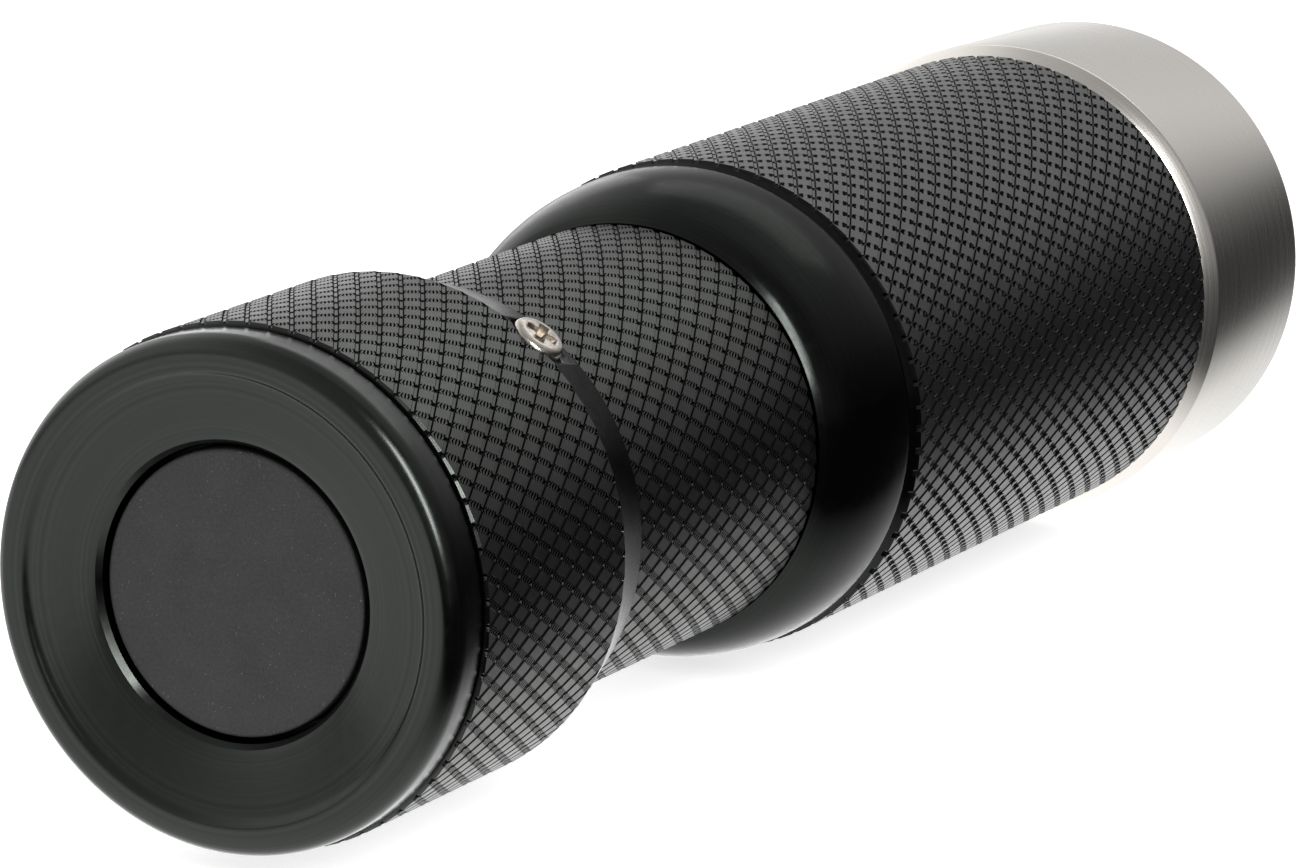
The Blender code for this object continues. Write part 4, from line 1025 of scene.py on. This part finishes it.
def make_springs():
    """The six coil springs. The switch's one gets a mesh of its own."""
    switch_at = stations("switch_plunger")[1] + CLEARANCE
    contact_at = stations("switch_retainer")[0]
    driver_at = stations("carrier_head_contact")[1] + CLEARANCE
    springs = [
        ("switch_spring", "tail_cap", switch_at, SWITCH_SPRING_RADII, 3.0, 3, FINE_WIRE, (0, 0)),
        ("tail_contact_spring", "tail_cap", contact_at, CONTACT_SPRING_RADII, 5.0, 4, THICK_WIRE, (0, 0)),
        ("driver_spring", "barrel", driver_at, CONTACT_SPRING_RADII[::-1], 4.0, 3.5, THICK_WIRE, (0, 0)),
    ]
    tailward, headward = stations("cell_2")
    for index, angle in enumerate((-math.pi / 2, 5 * math.pi / 6, math.pi / 6), 1):
        flipped = index == 2
        station = headward + CLEARANCE if flipped else tailward
        radii = CELL_SPRING_RADII[::-1] if flipped else CELL_SPRING_RADII
        centre = (CELL_REACH * math.cos(angle), CELL_REACH * math.sin(angle))
        springs.append((f"cell_spring_{index}", "carrier", station, radii, 1.5, 2.5, FINE_WIRE, centre))
    for node, body, station, radii, length, turns, wire, centre in springs:
        points = coil_points(station, radii, length, turns, wire, centre)
        piece = wire_mesh(node.replace("spring", "coil"), points, wire * MM)
        plated = wire == THICK_WIRE
        piece.data.materials.append(FINISHES["nickel_bright" if plated else "spring_steel"])
        show(piece, body, node)
        if node == "switch_spring":
            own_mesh(piece)


# The LED's layers: side, start and end past the solid's first station
EMITTER_LAYERS = ((3.46, 0.02, 0.76), (2.0, 0.76, 0.86))
DOME_RADIUS = 1.38
DOME_FOOT = 0.78
DOME_STEPS = 48
DOME_RINGS = 12


def make_emitter():
    """The LED: a ceramic base with its phosphor square under a clear dome."""
    bm = bmesh.new()
    for look, (side, start, end) in enumerate(EMITTER_LAYERS):
        middle = Vector((0, TAIL_Y + (EMITTER_AT + (start + end) / 2) * MM, AXIS_Z))
        size = Matrix.Diagonal((side * MM, (end - start) * MM, side * MM, 1))
        made = bmesh.ops.create_cube(bm, size=1, matrix=Matrix.Translation(middle) @ size)
        for face in {face for vert in made["verts"] for face in vert.link_faces}:
            face.material_index = look
    rings = []
    for height, radius in elbow((0, 0), (DOME_RADIUS, DOME_RADIUS), 90, 0, DOME_RINGS):
        tip = len(rings) == DOME_RINGS
        station = EMITTER_AT + DOME_FOOT + height
        angles = [math.tau * i / DOME_STEPS for i in range(1 if tip else DOME_STEPS)]
        rings.append([bm.verts.new(spot(angle, station, 0 if tip else radius)) for angle in angles])
    for face in [bm.faces.new(rings[0]), *loft(bm, rings, DOME_STEPS)]:
        face.material_index = len(EMITTER_LAYERS)
    emitter = mesh_object("emitter_chip", bm)
    for name in ("moulded_white", "phosphor", "silicone_dome"):
        emitter.data.materials.append(FINISHES[name])
    show(emitter, "barrel", "led_emitter")


def dress_nodes():
    """Finishes for the solids that are shown as they are."""
    looks = {
        "seal_rubber_soft": ("button_seal",),
        "moulded_white": ("switch_plunger", "reflector_isolator"),
        "moulded_black": ("switch_housing", "switch_holder", "cell_carrier"),
        "board_mask": ("switch_board", "driver_board"),
        "brass_turned": ("switch_retainer", "carrier_tail_contact", "carrier_head_contact"),
        "alloy_turned": ("driver_pill", "led_board"),
        "ferrite_core": ("driver_inductor",),
        "red_insulation": ("led_wire_red",),
        "black_insulation": ("led_wire_black",),
        "cell_label": ("cell_1", "cell_2", "cell_3"),
    }
    for finish, names in looks.items():
        for name in names:
            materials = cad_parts[name].data.materials
            materials.clear()
            materials.append(FINISHES[finish])


# The floor: half its side in metres, its place, and its glow to the camera
FLOOR_REACH = 3.0
FLOOR_Z = -0.2
PAPER_GLOW = 0.68
# Shares of the floor's glow in reflections: axis, the stretch along it, and the shares before and after it
FLOOR_SHARES = (
    (0, -10, 14, 1.5, 1.1),
    (0, 16, 30, 1.0, 0.035),
    (1, -35, -5, 1.8, 1.45),
    (1, 45, 70, 1.0, 0.69),
    (1, -75, -50, 0.6, 1.0),
)
# It is dimmer far to the left, but not behind the tail
FLOOR_LEFT = (0, -45, -15, 0.5, 1.0)
FLOOR_TAIL = (1, -60, -30, 1.0, 0.0)


def make_floor():
    """A pale floor. In reflections it is bright under the flashlight and dark to its right."""
    bm = bmesh.new()
    bmesh.ops.create_grid(bm, x_segments=1, y_segments=1, size=FLOOR_REACH)
    floor = mesh_object("floor", bm)
    floor.location = (0, 0, FLOOR_Z * MM)
    f = Finish("floor_paper", (0.93, 0.93, 0.93), 0.9, Specular_IOR_Level=0.0)
    xyz = f.split("Object")

    def share(axis, start, end, low, high):
        return f.between(xyz[axis], start * MM, end * MM, low, high)

    level = f.math("MAXIMUM", share(*FLOOR_LEFT), share(*FLOOR_TAIL))
    for row in FLOOR_SHARES:
        level = f.math("MULTIPLY", level, share(*row))
    glow = f.node("Emission", {"Strength": level})
    lift = f.node("Emission", {"Strength": PAPER_GLOW})
    paper = f.node("AddShader", {0: f.shader.outputs[0], 1: lift.outputs[0]})
    path = f.node("LightPath").outputs
    seen = f.node("MixShader", {"Fac": path["Is Camera Ray"], 1: f.shader.outputs[0], 2: paper.outputs[0]})
    mix = f.node("MixShader", {"Fac": path["Is Glossy Ray"], 1: seen.outputs[0], 2: glow.outputs[0]})
    f.feed(f.tree.nodes["Material Output"].inputs["Surface"], mix.outputs[0])
    floor.data.materials.append(f.material)


# The world's brightness round the flashlight: degrees from +X up to +Z, and level
WORLD_PEAK = 1.7
WORLD_LEVELS = (
    (-180, 1.7), (-160, 1.6), (-60, 0.6), (-30, 0.04), (-5, 0.05), (14, 0.14), (34, 0.5), (54, 0.8),
    (74, 0.86), (94, 0.76), (114, 0.74), (134, 0.73), (154, 0.92), (172, 1.35), (180, 1.7),
)
# Behind the tail its share of the peak falls from left to right instead
TAIL_SHARE = (-0.3, 0.6, 0.386, 0.15)
TAIL_BLEND = (0.0, 0.3)
# To the upper left, and not far ahead of the head, it is brighter by up to this much
CORNER_GAIN = 2.2
CORNER_SHARES = ((0, -0.65, -0.3, 1.0, 0.0), (1, 0.52, 0.76, 1.0, 0.0), (2, 0.05, 0.3, 0.0, 1.0))


def make_world():
    """White to the camera. In reflections it is dark to the right, grey above and bright to the left."""
    world = bpy.data.worlds.new("studio")
    world.use_nodes = True
    bpy.context.scene.world = world
    world.node_tree.nodes.clear()
    w = Nodes(world.node_tree)
    xyz = w.split("Generated")
    turn = w.math("ARCTAN2", xyz[2], xyz[0])
    ramp = w.node("ValToRGB", {0: w.between(turn, -math.pi, math.pi)})
    elements = ramp.color_ramp.elements
    elements.remove(elements[1])
    for index, (degrees, level) in enumerate(WORLD_LEVELS):
        share = (degrees + 180) / 360
        element = elements.new(share) if index else elements[0]
        element.position = share
        element.color = (*[level / WORLD_PEAK] * 3, 1)
    color = w.blend(w.between(xyz[1], *TAIL_BLEND), w.between(xyz[0], *TAIL_SHARE), ramp.outputs[0])
    gain = CORNER_GAIN
    for axis, *stretch in CORNER_SHARES:
        gain = w.math("MULTIPLY", w.between(xyz[axis], *stretch), gain)
    around = w.node("Background", {"Color": color, "Strength": w.math("ADD", gain, WORLD_PEAK)})
    white = w.node("Background", {"Color": (1, 1, 1, 1), "Strength": 1.0})
    is_seen = w.node("LightPath").outputs["Is Camera Ray"]
    mix = w.node("MixShader", {0: is_seen, 1: around.outputs[0], 2: white.outputs[0]})
    w.node("OutputWorld", {"Surface": mix.outputs[0]})


def aim(thing, at, toward):
    """Puts a lamp or the camera there, facing the other point, both in millimetres."""
    thing.location = Vector(at) * MM
    thing.rotation_euler = (Vector(toward) - Vector(at)).to_track_quat("-Z", "Y").to_euler()


# Soft lights: place, aim, width and height, and power
PANELS = {
    "key": ((225, -206, 175), (0, -58, 16), (60, 200), 0.9),
    "softbox": ((0, 115, 150), (0, -60, 25), (170, 55), 0.035),
    "left_softbox": ((-108, 115, 70), (0, -60, 25), (50, 70), 0.01),
}


def make_panels():
    """The soft lights, which the camera doesn't see."""
    for name, (at, toward, size, power) in PANELS.items():
        light = bpy.data.lights.new(name, "AREA")
        light.shape, light.size, light.size_y = "RECTANGLE", size[0] * MM, size[1] * MM
        light.energy = power
        lamp = add_object(name, light)
        lamp.visible_camera = False
        aim(lamp, at, toward)


CAMERA_AT = (197.89, -395.21, 109.09)
CAMERA_TOWARD = (1.438, -10.073, 15.8)
LENS = 201.8


def make_camera():
    """A long lens behind the tail, to its right and above it, as in the photo."""
    data = bpy.data.cameras.new("camera")
    data.sensor_width, data.lens = 36, LENS
    data.clip_start, data.clip_end = 0.01, 20
    camera = add_object("camera", data)
    aim(camera, CAMERA_AT, CAMERA_TOWARD)
    bpy.context.scene.camera = camera


make_shell_finishes()
make_metals()
make_soft_finishes()
make_light_finishes()
make_cap()
make_screw()
make_button()
make_tube()
make_head()
make_bezel()
make_front()
make_rings()
make_springs()
make_emitter()
dress_nodes()
make_floor()
make_world()
make_camera()
make_panels()
bpy.context.scene.view_settings.view_transform = "Standard"
